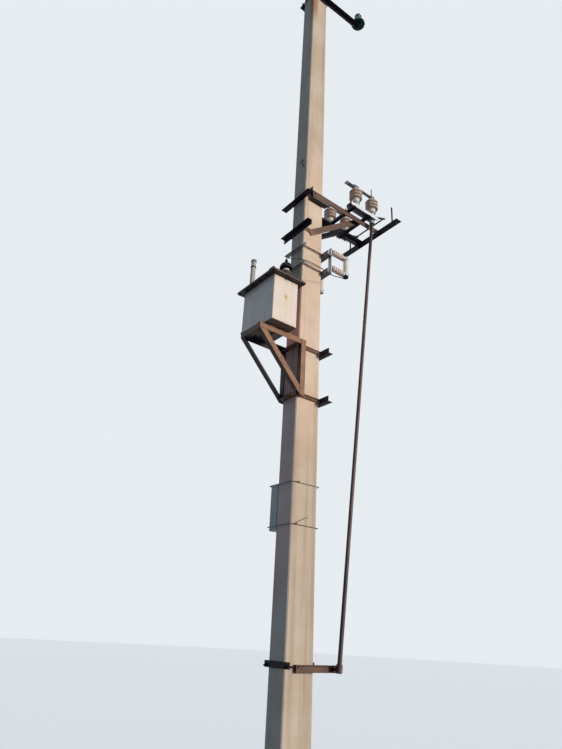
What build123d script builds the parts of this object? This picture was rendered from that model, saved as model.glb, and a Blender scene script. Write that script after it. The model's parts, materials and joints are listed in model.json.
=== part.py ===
from build123d import *
from math import atan2, cos, radians, sin, tan
import os

# A single-phase distribution transformer on a concrete pole, with its disconnector,
# fuses, line crossarm and low-voltage box. Millimetres, +Z up. The origin is the centre
# of the pole at ground level. +X points from the pole towards the disconnector and -X
# towards the transformer. -Y is the side on which the operating shaft runs.

# Concrete pole
pole_height = 9050
pole_width = 185
pole_base_depth = 270
pole_top_depth = 208
pole_chamfer = 8

# Studs that clamp steelwork to the pole
stud_r = 6
stud_hole_gap = 0.5
stud_tip = 22
stud_stand_off = 15

# Line crossarm near the pole top
crossarm_below_top = 233
crossarm_leg = 56
crossarm_t = 5
crossarm_half_length = 640
crossarm_yaw = -2.0
line_pin_inset = 30
line_pin_r = 11
line_pin_rise = 138
pin_thread_gap = 0.5
pin_collar_r = 20
pin_collar_h = 12
pole_top_pin_rise = 170
pole_cap_side = 110
crossarm_stud_overhang = 44
pole_cap_t = 8
crossarm_back_bar_half = 135
crossarm_back_bar_leg = 50

# Pin insulators
pin_insulator_r = 87
pin_insulator_h = 178
pin_insulator_socket_depth = 118
pin_insulator_rim = 10
pin_insulator_wall = 24
pin_insulator_shoulder_r = 52
pin_insulator_shoulder_h = 66
pin_insulator_body_r = 42
pin_insulator_neck_r = 36
pin_insulator_neck_h = 118
pin_insulator_head_r = 47
pin_insulator_groove_h = 18

# Disconnector frame on the pole
frame_z = 5635
frame_leg = 63
frame_reach = 56
frame_t = 6
frame_inner_x = -60
frame_outer_x = 872
strut_width = 60
strut_t = 6
strut_foot_x = -45
strut_foot_z = 5138
strut_head_x = 600
strut_plate_end_x = 10
cleat_length = 205
cleat_rise = 27
cleat_t = 5
upper_bar_drop = 63.5
upper_bar_leg = 63
upper_stud_drop = 50
lower_bar_z = 5164
lower_bar_leg = 50
clamp_bar_half = 210
clamp_bar_t = 5
lug_t = 8
lug_inner_y = 60
frame_stud_y = 125

# Outer crossarm of the disconnector frame and its bare pins
outer_arm_half = 410
outer_arm_leg = 75
outer_arm_t = 6
bare_pin_inset = 92
bare_pin_r = 8
bare_pin_rise = 225
bare_pin_nut_r = 16
bare_pin_nut_h = 16

# Disconnector bases
phase_y = 200
fixed_x = 482
turning_x = 722
base_inner_x = 385
base_outer_x = 778
base_width = 80
base_height = 42
base_t = 5
cross_height = 20
cross_width = 40
cross_t = 5
cross_overhang = 45
inner_cross_x = 425
outer_cross_x = 640

# Post insulators of the disconnector
foot_height = 54
foot_r = 34
post_insulator_h = 200
post_foot_cap_h = 42
post_head_cap_h = 32
post_cap_r = 36
post_head_r = 30
shed_r = 64
shed_count = 3
core_r = 43

# Turning columns
spindle_r = 15
spindle_gap = 0.3
bearing_r = 30
bearing_h = 8
hub_r = 30
lever_length = 140
lever_angle = -25.0
lever_width = 26
lever_t = 8
link_pin_r = 5
link_pin_gap = 0.3
link_width = 16
link_t = 6
link_lift = 1.0
cup_r = 28
cup_wall = 6
cup_depth = 34
cup_floor = 8
cup_below_spindle = 7

# Switch blades and contacts
plate_t = 6
blade_width = 30
blade_t = 12
blade_gap = 1.0
blade_tail = 32
blade_reach = 20
jaw_half_width = 22
jaw_leaf_t = 4
jaw_outer_reach = 26
jaw_back_gap = 14
jaw_back_t = 8
terminal_inner_x = 336
terminal_hole_inset = 22
terminal_hole_r = 6.5

# Operating shaft and its drive bracket
shaft_r = 16.5
shaft_foot_x = 316
shaft_entry = 24
shaft_tail = 26
shaft_collar_r = 23
shaft_collar_h = 14
collar_gap = 0.5
drive_z = 1391
drive_channel_h = 48
drive_channel_depth = 30
drive_channel_t = 5
drive_channel_inner_x = -52
drive_channel_outer_x = 385
drive_end_t = 8
drive_bar_near_y = 150
drive_bar_far_y = 130
drive_bar_t = 8
drive_bar_h = 44
drive_bar_lift = 18
drive_stud_lift = 10
drive_bearing_r = 24
drive_bearing_h = 40
drive_lug_reach = 36
drive_lug_width = 40
drive_lug_t = 20

# Fuse clamps and fuses
fuse_bar_leg = 45
fuse_arm_leg = 55
fuse_bar_t = 5
fuse_bar_upper_z = 4950
fuse_bar_lower_z = 4745
fuse_bar_inner_half = 135
fuse_bar_overhang = 30
near_fuse_y = 150
far_fuse_y = 212
fuse_base_width = 44
fuse_base_t = 6
fuse_base_bottom_z = 4728
fuse_base_top_z = 5032
fuse_post_length = 180
fuse_post_upper_z = 5000
fuse_post_lower_z = 4812
fuse_shed_r = 31
fuse_post_core_r = 21
fuse_post_cap_r = 25
fuse_shed_count = 5
fuse_tube_r = 26
fuse_tube_over = 26
fuse_cap_h = 22

# Transformer
tank_inner_x = -262
tank_outer_x = -520
tank_half_width = 226
bracket_top_z = 3925
tank_height = 441
tank_skid_t = 13
tank_skid_width = 50
tank_skid_inset = 50
tank_round = 8
lid_over_x = 48
lid_over_y = 46
lid_t = 18
lid_pad_t = 8
lid_pad_inset = 55
filler_x = -508
filler_y = 135
filler_r = 22
filler_height = 312
filler_cap_r = 26
filler_cap_h = 40
filler_flange_h = 10
bushing_x = -332
bushing_y = 130
bushing_flange_r = 46
bushing_flange_h = 16
bushing_foot_r = 34
bushing_foot_h = 74
bushing_lower_shed_r = 50
bushing_lower_shed_h = 46
bushing_waist_r = 30
bushing_waist_h = 16
bushing_dome_r = 58
bushing_dome_h = 66
bushing_hood_t = 5
bushing_hood_hollow = 26
bushing_cap_r = 15
bushing_cap_h = 12
bushing_stem_r = 8
bushing_stem_h = 26

# Transformer bracket
bracket_leg = 50
bracket_t = 5
bracket_half_width = 140
bracket_outer_x = -572
bracket_post_bottom_z = 3405
bracket_strut_width_x = 69
bracket_strut_flange = 40
bracket_flange_gap = 6
bracket_upper_stud_z = 3878
bracket_lower_stud_z = 3422
bracket_stud_pitch = 23
bracket_strut_lift = 2
bracket_strut_width_z = 73
back_bar_half = 210
back_bar_leg = 50
back_bar_t = 5
back_bar_drop = 27

# Low-voltage box
box_bottom_z = 2330
box_height = 362
box_depth = 100
box_width = 270
box_door_t = 14
box_door_rim = 8
band_r = 2.5
band_upper_inset = 8
band_lower_inset = 30
band_corner_r = 9
band_gap = 0.4

# Stiff high-voltage leads
lead_r = 4
lead_terminal_rise = 22
# Bends on the way: X, distance outside the pole's stud line, share of the fuse's offset, Z
lead_bends = [
    (-290, 8, 0, 4708),
    (-112, 8, 0, 4782),
    (90, -2, 0, 4797),
    (176, -5, 0, 4780),
    (250, 0, 0.15, 4768),
    (315, -6, 1, 4764),
]
lead_tail = 16

half_width = pole_width / 2
axis_slope = (pole_base_depth - pole_top_depth) / 2 / pole_height
stud_y = half_width + stud_stand_off


def half_depth(z):
    """Distance from the pole's axis to its +X or -X face at height z."""
    return pole_base_depth / 2 - axis_slope * z


def finish(part, name):
    """Name a finished piece and write it."""
    part.label = name
    export_step(part, "parts/" + name + ".step")


def block(x_span, y_span, z_span, mode=Mode.ADD):
    """A box from its low and high side along each axis."""
    centre = ((x_span[0] + x_span[1]) / 2, (y_span[0] + y_span[1]) / 2)
    with BuildSketch(Plane.XY.offset(z_span[0])) as face:
        with Locations(centre):
            Rectangle(x_span[1] - x_span[0], y_span[1] - y_span[0])
    extrude(face.sketch, amount=z_span[1] - z_span[0], mode=mode)


def angle_outline(corner, legs, thickness):
    """The six points of an angle section from its outer corner and signed legs."""
    u, v = corner
    leg_u, leg_v = legs
    step_u = thickness if leg_u > 0 else -thickness
    step_v = thickness if leg_v > 0 else -thickness
    return [
        (u, v),
        (u + leg_u, v),
        (u + leg_u, v + step_v),
        (u + step_u, v + step_v),
        (u + step_u, v + leg_v),
        (u, v + leg_v),
    ]


def angle_along_x(x_span, corner, legs, thickness):
    """A steel angle along X. Its section is given in Y and Z."""
    with BuildSketch(Plane.YZ.offset(x_span[0])) as section:
        with BuildLine():
            Polyline(*angle_outline(corner, legs, thickness), close=True)
        make_face()
    extrude(section.sketch, amount=x_span[1] - x_span[0])


def angle_along_y(y_span, corner, legs, thickness):
    """A steel angle along Y. Its section is given in X and Z."""
    with BuildSketch(Plane.XZ.offset(-y_span[1])) as section:
        with BuildLine():
            Polyline(*angle_outline(corner, legs, thickness), close=True)
        make_face()
    extrude(section.sketch, amount=y_span[1] - y_span[0])


def rods_along_x(x_span, spots, radius, mode=Mode.ADD):
    """Round rods, or holes, along X at each (y, z)."""
    with BuildSketch(Plane.YZ.offset(x_span[0])) as section:
        with Locations(*spots):
            Circle(radius)
    extrude(section.sketch, amount=x_span[1] - x_span[0], mode=mode)


def rods_along_y(y_span, spots, radius, mode=Mode.ADD):
    """Round rods, or holes, along Y at each (x, z)."""
    with BuildSketch(Plane.XZ.offset(-y_span[1])) as section:
        with Locations(*spots):
            Circle(radius)
    extrude(section.sketch, amount=y_span[1] - y_span[0], mode=mode)


def disc(centre, z_low, height, radius, mode=Mode.ADD):
    """An upright round disc or rod."""
    with BuildSketch(Plane.XY.offset(z_low)) as face:
        with Locations(centre):
            Circle(radius)
    extrude(face.sketch, amount=height, mode=mode)


def turned(plane, points):
    """A turned piece: the outline in radius and height, about the plane's Y direction."""
    with BuildSketch(plane) as outline:
        with BuildLine():
            Polyline(*points, close=True)
        make_face()
    revolve(outline.sketch, axis=Axis(plane.origin, plane.y_dir))


def shed_outline(length, sheds, shed_radius, core_radius, low_end, high_end):
    """Half outline of a ribbed insulator with plain ends, each a radius and a length."""
    low_r, low_length = low_end
    high_r, high_length = high_end
    points = [(0, 0), (low_r, 0), (low_r, low_length)]
    top = length - high_length
    pitch = (top - low_length) / sheds
    for turn in range(sheds):
        start = low_length + turn * pitch
        points += [
            (core_radius, start),
            (core_radius, start + 0.15 * pitch),
            (shed_radius, start + 0.40 * pitch),
            (shed_radius, start + 0.55 * pitch),
            (core_radius, start + 0.95 * pitch),
        ]
    points += [(core_radius, top), (high_r, top), (high_r, length), (0, length)]
    return points


def sloped_outline(foot, head_x, head_z, width):
    """A sloped bar's outline in X and Z, its head cut level at head_z."""
    slope = atan2(head_z - foot[1], head_x - foot[0])
    side_x = -width / 2 * sin(slope)
    side_z = width / 2 * cos(slope)
    outline = []
    for side in (-1, 1):
        start = (foot[0] + side * side_x, foot[1] + side * side_z)
        end_x = start[0] + (head_z - start[1]) / tan(slope)
        outline.append((start, (end_x, head_z)))
    (low_foot, low_head), (high_foot, high_head) = outline
    return [low_foot, low_head, high_head, high_foot]


def plate_in_xz(points, y_span):
    """A flat plate in the XZ plane, as thick as y_span."""
    with BuildSketch(Plane.XZ.offset(-y_span[1])) as face:
        with BuildLine():
            Polyline(*points, close=True)
        make_face()
    extrude(face.sketch, amount=y_span[1] - y_span[0])


os.makedirs("parts", exist_ok=True)

# The pole tapers in depth and keeps its width
with BuildPart() as pole:
    with BuildSketch(Plane.XZ):
        with BuildLine():
            Polyline(
                (-pole_base_depth / 2, 0),
                (pole_base_depth / 2, 0),
                (pole_top_depth / 2, pole_height),
                (-pole_top_depth / 2, pole_height),
                close=True,
            )
        make_face()
    extrude(amount=half_width, both=True)
    long_edges = pole.edges().filter_by(lambda edge: edge.length > pole_height - 1)
    chamfer(long_edges, pole_chamfer)
finish(pole.part, "pole")

# Line crossarm, seated on the -Y face at the pole's -X corner and slightly askew
crossarm_z = pole_height - crossarm_below_top
crossarm_top_z = crossarm_z + crossarm_leg / 2
arm_way = Vector(cos(radians(crossarm_yaw)), sin(radians(crossarm_yaw)), 0)
arm_out = Vector(sin(radians(crossarm_yaw)), -cos(radians(crossarm_yaw)), 0)
arm_corner_x = -half_depth(crossarm_z) + pole_chamfer
arm_seat = Vector(arm_corner_x, -half_width, crossarm_top_z)
arm_middle = arm_seat - arm_way * (arm_corner_x / arm_way.X)
arm_section = Plane(
    origin=arm_middle - arm_way * crossarm_half_length,
    x_dir=arm_out,
    z_dir=arm_way,
)
crossarm_stud_x = half_depth(crossarm_z) + stud_stand_off
crossarm_studs = [(-crossarm_stud_x, crossarm_z), (crossarm_stud_x, crossarm_z)]
with BuildPart() as top_crossarm:
    with BuildSketch(arm_section):
        with BuildLine():
            Polyline(*angle_outline((0, 0), (crossarm_leg, crossarm_leg), crossarm_t), close=True)
        make_face()
    extrude(amount=2 * crossarm_half_length)
    rods_along_y(
        (-half_width - crossarm_leg, 0), crossarm_studs, stud_r + stud_hole_gap, Mode.SUBTRACT
    )
finish(top_crossarm.part, "top_crossarm")

# Back bar on the +Y face and the two studs that pull the crossarm on
with BuildPart() as crossarm_back_bar:
    angle_along_x(
        (-crossarm_back_bar_half, crossarm_back_bar_half),
        (half_width, crossarm_z - crossarm_back_bar_leg / 2),
        (crossarm_back_bar_leg, crossarm_back_bar_leg),
        crossarm_t,
    )
    rods_along_y((0, half_width + crossarm_t), crossarm_studs, stud_r + stud_hole_gap, Mode.SUBTRACT)
finish(crossarm_back_bar.part, "crossarm_back_bar")

with BuildPart() as crossarm_studs_piece:
    rods_along_y(
        (-half_width - crossarm_stud_overhang, half_width + crossarm_t + stud_tip),
        crossarm_studs,
        stud_r,
    )
finish(crossarm_studs_piece.part, "crossarm_studs")

# Insulator pins: one at each end of the crossarm and one on the pole top
pin_reach = crossarm_half_length - line_pin_inset
pin_spots = []
for side in (-1, 1):
    pin_foot = arm_middle + arm_way * (side * pin_reach) + arm_out * (crossarm_leg / 2)
    pin_spots.append((pin_foot.X, pin_foot.Y, crossarm_top_z, line_pin_rise))
pin_spots.append((0, 0, pole_height + pole_cap_t, pole_top_pin_rise))
with BuildPart() as insulator_pins:
    for pin_x, pin_y, foot_z, rise in pin_spots:
        disc((pin_x, pin_y), foot_z, rise, line_pin_r)
        disc((pin_x, pin_y), foot_z, pin_collar_h, pin_collar_r)
    block(
        (-pole_cap_side / 2, pole_cap_side / 2),
        (-pole_cap_side / 2, pole_cap_side / 2),
        (pole_height, pole_height + pole_cap_t),
    )
finish(insulator_pins.part, "insulator_pins")

# Bell-shaped pin insulators, hollow below round their pins
socket_r = line_pin_r + pin_thread_gap
groove_z = pin_insulator_neck_h + pin_insulator_groove_h
head_edge_z = (groove_z + pin_insulator_h) / 2
bell = [
    (pin_insulator_r - pin_insulator_rim, 0),
    (pin_insulator_r, 0),
    (pin_insulator_r, pin_insulator_rim),
    (pin_insulator_shoulder_r, pin_insulator_shoulder_h),
    (pin_insulator_body_r, pin_insulator_shoulder_h + pin_insulator_rim),
    (pin_insulator_body_r, pin_insulator_neck_h - pin_insulator_rim),
    (pin_insulator_neck_r, pin_insulator_neck_h),
    (pin_insulator_neck_r, groove_z),
    (pin_insulator_head_r, groove_z + pin_insulator_rim),
    (pin_insulator_head_r, head_edge_z),
    (pin_insulator_neck_r, pin_insulator_h),
    (0, pin_insulator_h),
    (0, pin_insulator_socket_depth),
    (socket_r, pin_insulator_socket_depth),
    (socket_r, pin_insulator_shoulder_h),
    (pin_insulator_shoulder_r - pin_insulator_wall, pin_insulator_shoulder_h - pin_insulator_wall),
]
with BuildPart() as line_insulators:
    for pin_x, pin_y, foot_z, rise in pin_spots:
        bell_z = foot_z + rise + pin_thread_gap - pin_insulator_socket_depth
        turned(Plane(origin=(pin_x, pin_y, bell_z), x_dir=(1, 0, 0), z_dir=(0, -1, 0)), bell)
finish(line_insulators.part, "line_insulators")

# Disconnector frame: two angles along X, one beside each Y face of the pole. Their flat legs
# are on top and turned to the pole, and their upright legs hang at the outer side.
frame_bottom_z = frame_z - frame_leg
frame_outer_y = half_width + frame_reach
with BuildPart() as frame_arms:
    angle_along_x(
        (frame_inner_x, frame_outer_x),
        (-frame_outer_y, frame_z),
        (frame_reach, -frame_leg),
        frame_t,
    )
    mirror(about=Plane.XZ)
finish(frame_arms.part, "frame_arms")

# Seat cleats on the pole's Y faces: their flat legs meet the pole, the arms stand on their rims
with BuildPart() as frame_cleats:
    angle_along_x(
        (frame_inner_x, frame_inner_x + cleat_length),
        (-frame_outer_y, frame_bottom_z - cleat_rise),
        (frame_reach, cleat_rise),
        cleat_t,
    )
    mirror(about=Plane.XZ)
finish(frame_cleats.part, "frame_cleats")

# Struts up to the undersides of the arms' flat legs. Their feet lie on plates that reach
# along the pole's faces to the lower clamp bar.
strut_head_z = frame_z - frame_t
strut_outer_y = -half_width - frame_t - strut_t
strut_shape = sloped_outline(
    (strut_foot_x, strut_foot_z), strut_head_x, strut_head_z, strut_width
)
lower_bar_low = lower_bar_z - lower_bar_leg / 2
lower_bar_high = lower_bar_z + lower_bar_leg / 2
lower_seat = half_depth(lower_bar_low)
with BuildPart() as frame_struts:
    plate_in_xz(strut_shape, (strut_outer_y, strut_outer_y + strut_t))
    block(
        (-lower_seat, strut_plate_end_x),
        (strut_outer_y + strut_t, -half_width),
        (lower_bar_low, lower_bar_high),
    )
    mirror(about=Plane.XZ)
finish(frame_struts.part, "frame_struts")

# Clamp bars across the pole's -X face. The studs of the upper one pull on lugs that stand
# inside the arms and bear on the +X face.
stud_hole_r = stud_r + stud_hole_gap
upper_bar_z = frame_z - upper_bar_drop
upper_stud_z = frame_z - upper_stud_drop
frame_stud_spots = [(side * frame_stud_y, upper_stud_z) for side in (-1, 1)]
upper_bar_low = upper_bar_z - upper_bar_leg / 2
upper_seat = half_depth(upper_bar_low)
with BuildPart() as frame_clamp_bars:
    for corner, leg, rise in (
        ((-upper_seat, upper_bar_low), upper_bar_leg, upper_bar_leg),
        ((-lower_seat, lower_bar_high), lower_bar_leg, -lower_bar_leg),
    ):
        angle_along_y((-clamp_bar_half, clamp_bar_half), corner, (-leg, rise), clamp_bar_t)
    for side in (-1, 1):
        lug_y = sorted((side * lug_inner_y, side * (frame_outer_y - frame_t)))
        block(
            (upper_seat, upper_seat + lug_t),
            lug_y,
            (frame_bottom_z, frame_z - frame_t),
        )
    rods_along_x((-pole_base_depth, 2 * pole_base_depth), frame_stud_spots, stud_hole_r, Mode.SUBTRACT)
finish(frame_clamp_bars.part, "frame_clamp_bars")

with BuildPart() as frame_clamp_studs:
    frame_stud_reach = upper_seat + lug_t + stud_tip
    rods_along_x((-frame_stud_reach, frame_stud_reach), frame_stud_spots, stud_r)
finish(frame_clamp_studs.part, "frame_clamp_studs")

# Crossarm across the frame's outer ends, with a bare pin near each end
outer_arm_top_z = frame_z
with BuildPart() as outer_crossarm:
    angle_along_y(
        (-outer_arm_half, outer_arm_half),
        (frame_outer_x, outer_arm_top_z),
        (outer_arm_leg, -outer_arm_leg),
        outer_arm_t,
    )
finish(outer_crossarm.part, "outer_crossarm")

bare_pin_x = frame_outer_x + outer_arm_leg / 2
with BuildPart() as bare_pins:
    for side in (-1, 1):
        spot = (bare_pin_x, side * (outer_arm_half - bare_pin_inset))
        disc(spot, outer_arm_top_z, bare_pin_rise, bare_pin_r)
        disc(spot, outer_arm_top_z, bare_pin_nut_h, bare_pin_nut_r)
finish(bare_pins.part, "bare_pins")

# Two cross channels on the arms carry the two disconnector bases
cross_half = phase_y + cross_overhang
base_z = frame_z + cross_height
with BuildPart() as cross_channels:
    for cross_x in (inner_cross_x, outer_cross_x):
        low = cross_x - cross_width / 2
        high = cross_x + cross_width / 2
        block((low, high), (-cross_half, cross_half), (base_z - cross_t, base_z))
        block((low, low + cross_t), (-cross_half, cross_half), (frame_z, base_z))
        block((high - cross_t, high), (-cross_half, cross_half), (frame_z, base_z))
finish(cross_channels.part, "cross_channels")

# One inverted channel for each phase, with a hole for the turning spindle
base_top_z = base_z + base_height
with BuildPart() as phase_bases:
    for side in (-1, 1):
        middle = side * phase_y
        low = middle - base_width / 2
        high = middle + base_width / 2
        span = (base_inner_x, base_outer_x)
        block(span, (low, high), (base_top_z - base_t, base_top_z))
        block(span, (low, low + base_t), (base_z, base_top_z))
        block(span, (high - base_t, high), (base_z, base_top_z))
        disc((turning_x, middle), base_z, base_height, spindle_r + spindle_gap, Mode.SUBTRACT)
        disc((turning_x, middle), base_top_z, bearing_h, bearing_r)
        disc((turning_x, middle), base_top_z, bearing_h, spindle_r + spindle_gap, Mode.SUBTRACT)
finish(phase_bases.part, "phase_bases")

# Fixed columns: a foot, a ribbed post insulator and a contact on top
post_z = base_top_z + foot_height
post_top_z = post_z + post_insulator_h
post_outline = shed_outline(
    post_insulator_h,
    shed_count,
    shed_r,
    core_r,
    (post_cap_r, post_foot_cap_h),
    (post_head_r, post_head_cap_h),
)


def post_insulator(x, y):
    """A ribbed porcelain post from post_z to post_top_z."""
    plane = Plane(origin=(x, y, post_z), x_dir=(1, 0, 0), z_dir=(0, -1, 0))
    turned(plane, post_outline)


with BuildPart() as fixed_feet:
    for side in (-1, 1):
        disc((fixed_x, side * phase_y), base_top_z, foot_height, foot_r)
finish(fixed_feet.part, "fixed_feet")

with BuildPart() as fixed_insulators:
    for side in (-1, 1):
        post_insulator(fixed_x, side * phase_y)
finish(fixed_insulators.part, "fixed_insulators")

# Contact jaws: two leaves, open at the sides, joined behind the blade's tip
blade_low_z = post_top_z + plate_t + blade_gap
blade_high_z = blade_low_z + blade_t
leaf_z = blade_high_z + blade_gap
blade_tip_x = fixed_x - blade_reach
jaw_back_x = blade_tip_x - jaw_back_gap
terminal_hole_x = terminal_inner_x + terminal_hole_inset
with BuildPart() as fixed_contacts:
    for side in (-1, 1):
        middle = side * phase_y
        width = (middle - jaw_half_width, middle + jaw_half_width)
        block((terminal_inner_x, fixed_x + jaw_outer_reach), width, (post_top_z, post_top_z + plate_t))
        block(
            (jaw_back_x - jaw_back_t, fixed_x + jaw_outer_reach),
            width,
            (leaf_z, leaf_z + jaw_leaf_t),
        )
        block((jaw_back_x - jaw_back_t, jaw_back_x), width, (post_top_z, leaf_z + jaw_leaf_t))
        disc((terminal_hole_x, middle), post_top_z, plate_t, terminal_hole_r, Mode.SUBTRACT)
finish(fixed_contacts.part, "fixed_contacts")

# Turning columns: spindle, hub and lever below, post insulator, blade on top
hub_z = base_top_z + bearing_h + spindle_gap
lever_way = radians(lever_angle)
spindle_bottom_z = base_z - cross_height / 2
cup_top_z = spindle_bottom_z - cup_below_spindle
link_z = hub_z + lever_t + link_lift
pin_top_z = link_z + link_t + 2 * link_lift


def lever_pin_spot(middle):
    """Where the lever's pin stands for the phase at y = middle."""
    return (turning_x + lever_length * cos(lever_way), middle + lever_length * sin(lever_way))


for side, phase in ((-1, "near"), (1, "far")):
    middle = side * phase_y
    with BuildPart() as spindle:
        disc((turning_x, middle), spindle_bottom_z, hub_z - spindle_bottom_z, spindle_r)
        disc((turning_x, middle), hub_z, post_z - hub_z, hub_r)
        with BuildSketch(Plane.XY.offset(hub_z)) as lever:
            with Locations(Location((turning_x, middle), lever_angle)):
                with Locations((lever_length / 2, 0)):
                    Rectangle(lever_length, lever_width)
            with Locations(lever_pin_spot(middle)):
                Circle(lever_width / 2)
        extrude(lever.sketch, amount=lever_t)
        disc(lever_pin_spot(middle), hub_z, pin_top_z - hub_z, link_pin_r)
        if phase == "near":
            cup_bottom_z = cup_top_z - cup_depth
            disc((turning_x, middle), cup_bottom_z, cup_depth, cup_r)
            disc((turning_x, middle), cup_top_z, cup_below_spindle, spindle_r)
            disc(
                (turning_x, middle),
                cup_bottom_z,
                cup_depth - cup_floor,
                cup_r - cup_wall,
                Mode.SUBTRACT,
            )
    finish(spindle.part, phase + "_spindle")

    with BuildPart() as turning_insulator:
        post_insulator(turning_x, middle)
    finish(turning_insulator.part, phase + "_turning_insulator")

    with BuildPart() as blade:
        disc((turning_x, middle), post_top_z, blade_low_z - post_top_z, post_head_r)
        block(
            (blade_tip_x, turning_x + blade_tail),
            (middle - blade_width / 2, middle + blade_width / 2),
            (blade_low_z, blade_high_z),
        )
    finish(blade.part, phase + "_blade")

# Link bar that makes both columns turn together
near_pin = lever_pin_spot(-phase_y)
far_pin = lever_pin_spot(phase_y)
link_end_gap = 2.0
with BuildPart() as tie_link:
    with BuildSketch(Plane.XY.offset(link_z)):
        with Locations((near_pin[0], (near_pin[1] + far_pin[1]) / 2)):
            Rectangle(link_width, far_pin[1] - near_pin[1])
        with Locations(near_pin, far_pin):
            Circle(link_width / 2 + link_end_gap)
        with Locations((near_pin[0], near_pin[1])):
            Circle(link_pin_r + link_pin_gap, mode=Mode.SUBTRACT)
        with Locations((far_pin[0], far_pin[1])):
            Circle(link_pin_r + link_end_gap, mode=Mode.SUBTRACT)
    extrude(amount=link_t)
finish(tie_link.part, "tie_link")

# Operating shaft: a slanted pipe from the near spindle's cup to the drive bracket
shaft_foot_y = -half_width - drive_channel_depth - drive_lug_reach
shaft_foot = Vector(shaft_foot_x, shaft_foot_y, drive_z)
shaft_head = Vector(turning_x, -phase_y, cup_top_z - cup_floor - (cup_depth - shaft_entry))
shaft_run = shaft_head - shaft_foot
shaft_way = shaft_run.normalized()
shaft_low = shaft_foot - shaft_way * shaft_tail
shaft_plane = Plane(origin=shaft_low, x_dir=(0, 1, 0), z_dir=shaft_way)
bearing_plane = Plane(origin=shaft_foot - shaft_way * (drive_bearing_h / 2), z_dir=shaft_way)
collar_base = shaft_foot + shaft_way * (drive_bearing_h / 2 + collar_gap)
with BuildPart() as operating_shaft:
    with BuildSketch(shaft_plane):
        Circle(shaft_r)
    extrude(amount=shaft_run.length + shaft_tail)
    with BuildSketch(Plane(origin=collar_base, z_dir=shaft_way)):
        Circle(shaft_collar_r)
    extrude(amount=shaft_collar_h)
finish(operating_shaft.part, "operating_shaft")

# Drive bracket: a channel along the -Y face, held by bars across the X faces
drive_low_z = drive_z - drive_channel_h / 2
drive_high_z = drive_z + drive_channel_h / 2
drive_bar_low_z = drive_z + drive_bar_lift - drive_bar_h / 2
drive_bar_span = (drive_bar_low_z, drive_bar_low_z + drive_bar_h)
drive_seat = half_depth(drive_bar_low_z)
drive_stud_z = drive_z + drive_stud_lift
drive_stud_spots = [(-stud_y, drive_stud_z), (stud_y, drive_stud_z)]
channel_front_y = -half_width - drive_channel_depth
channel_end_x = drive_channel_inner_x + drive_end_t
with BuildPart() as drive_channel:
    span = (drive_channel_inner_x, drive_channel_outer_x)
    block(span, (-half_width - drive_channel_t, -half_width), (drive_low_z, drive_high_z))
    block(span, (channel_front_y, -half_width), (drive_low_z, drive_low_z + drive_channel_t))
    block(span, (channel_front_y, -half_width), (drive_high_z - drive_channel_t, drive_high_z))
    block(
        (drive_channel_inner_x, channel_end_x),
        (channel_front_y, -half_width),
        (drive_low_z, drive_high_z),
    )
    rods_along_x(
        (drive_channel_inner_x, channel_end_x), drive_stud_spots[:1], stud_hole_r, Mode.SUBTRACT
    )
finish(drive_channel.part, "drive_channel")

with BuildPart() as drive_bars:
    block(
        (-drive_seat - drive_bar_t, -drive_seat),
        (-drive_bar_near_y, drive_bar_far_y),
        drive_bar_span,
    )
    block(
        (drive_seat, drive_seat + drive_bar_t),
        (-half_width, drive_bar_far_y),
        drive_bar_span,
    )
    rods_along_x((-pole_base_depth, 2 * pole_base_depth), drive_stud_spots, stud_hole_r, Mode.SUBTRACT)
finish(drive_bars.part, "drive_bars")

with BuildPart() as drive_studs:
    drive_stud_reach = drive_seat + drive_bar_t + stud_tip
    rods_along_x((-drive_stud_reach, channel_end_x + stud_tip), drive_stud_spots[:1], stud_r)
    rods_along_x((-drive_stud_reach, drive_stud_reach), drive_stud_spots[1:], stud_r)
finish(drive_studs.part, "drive_studs")

with BuildPart() as shaft_bearing:
    with BuildSketch(bearing_plane):
        Circle(drive_bearing_r)
    extrude(amount=drive_bearing_h)
    block(
        (shaft_foot_x - drive_lug_width / 2, shaft_foot_x + drive_lug_width / 2),
        (shaft_foot_y, -half_width - drive_channel_t),
        (drive_z - drive_lug_t / 2, drive_z + drive_lug_t / 2),
    )
    with BuildSketch(shaft_plane):
        Circle(shaft_r + spindle_gap)
    extrude(amount=3 * drive_bearing_h, mode=Mode.SUBTRACT)
finish(shaft_bearing.part, "shaft_bearing")

# Fuse clamps: bars across both X faces at two levels, drawn together by studs
fuse_levels = (fuse_bar_upper_z, fuse_bar_lower_z)
fuse_seat = {z: half_depth(z - fuse_bar_leg / 2) for z in fuse_levels}
fuse_stud_spots = [(side * stud_y, z) for z in fuse_levels for side in (-1, 1)]
fuse_face_x = fuse_seat[fuse_bar_lower_z] + fuse_arm_leg
with BuildPart() as fuse_clamp_bars:
    for level in fuse_levels:
        seat = fuse_seat[level]
        low = level - fuse_bar_leg / 2
        angle_along_y(
            (-fuse_bar_inner_half, fuse_bar_inner_half),
            (-seat, low),
            (-fuse_bar_leg, fuse_bar_leg),
            fuse_bar_t,
        )
        angle_along_y(
            (-near_fuse_y - fuse_bar_overhang, far_fuse_y + fuse_bar_overhang),
            (seat, low),
            (fuse_face_x - seat, fuse_bar_leg),
            fuse_bar_t,
        )
    rods_along_x((-pole_base_depth, 2 * pole_base_depth), fuse_stud_spots, stud_hole_r, Mode.SUBTRACT)
finish(fuse_clamp_bars.part, "fuse_clamp_bars")

with BuildPart() as fuse_clamp_studs:
    for level in fuse_levels:
        reach = fuse_seat[level] + fuse_bar_t + stud_tip
        rods_along_x((-reach, reach), [(-stud_y, level), (stud_y, level)], stud_r)
finish(fuse_clamp_studs.part, "fuse_clamp_studs")

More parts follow.
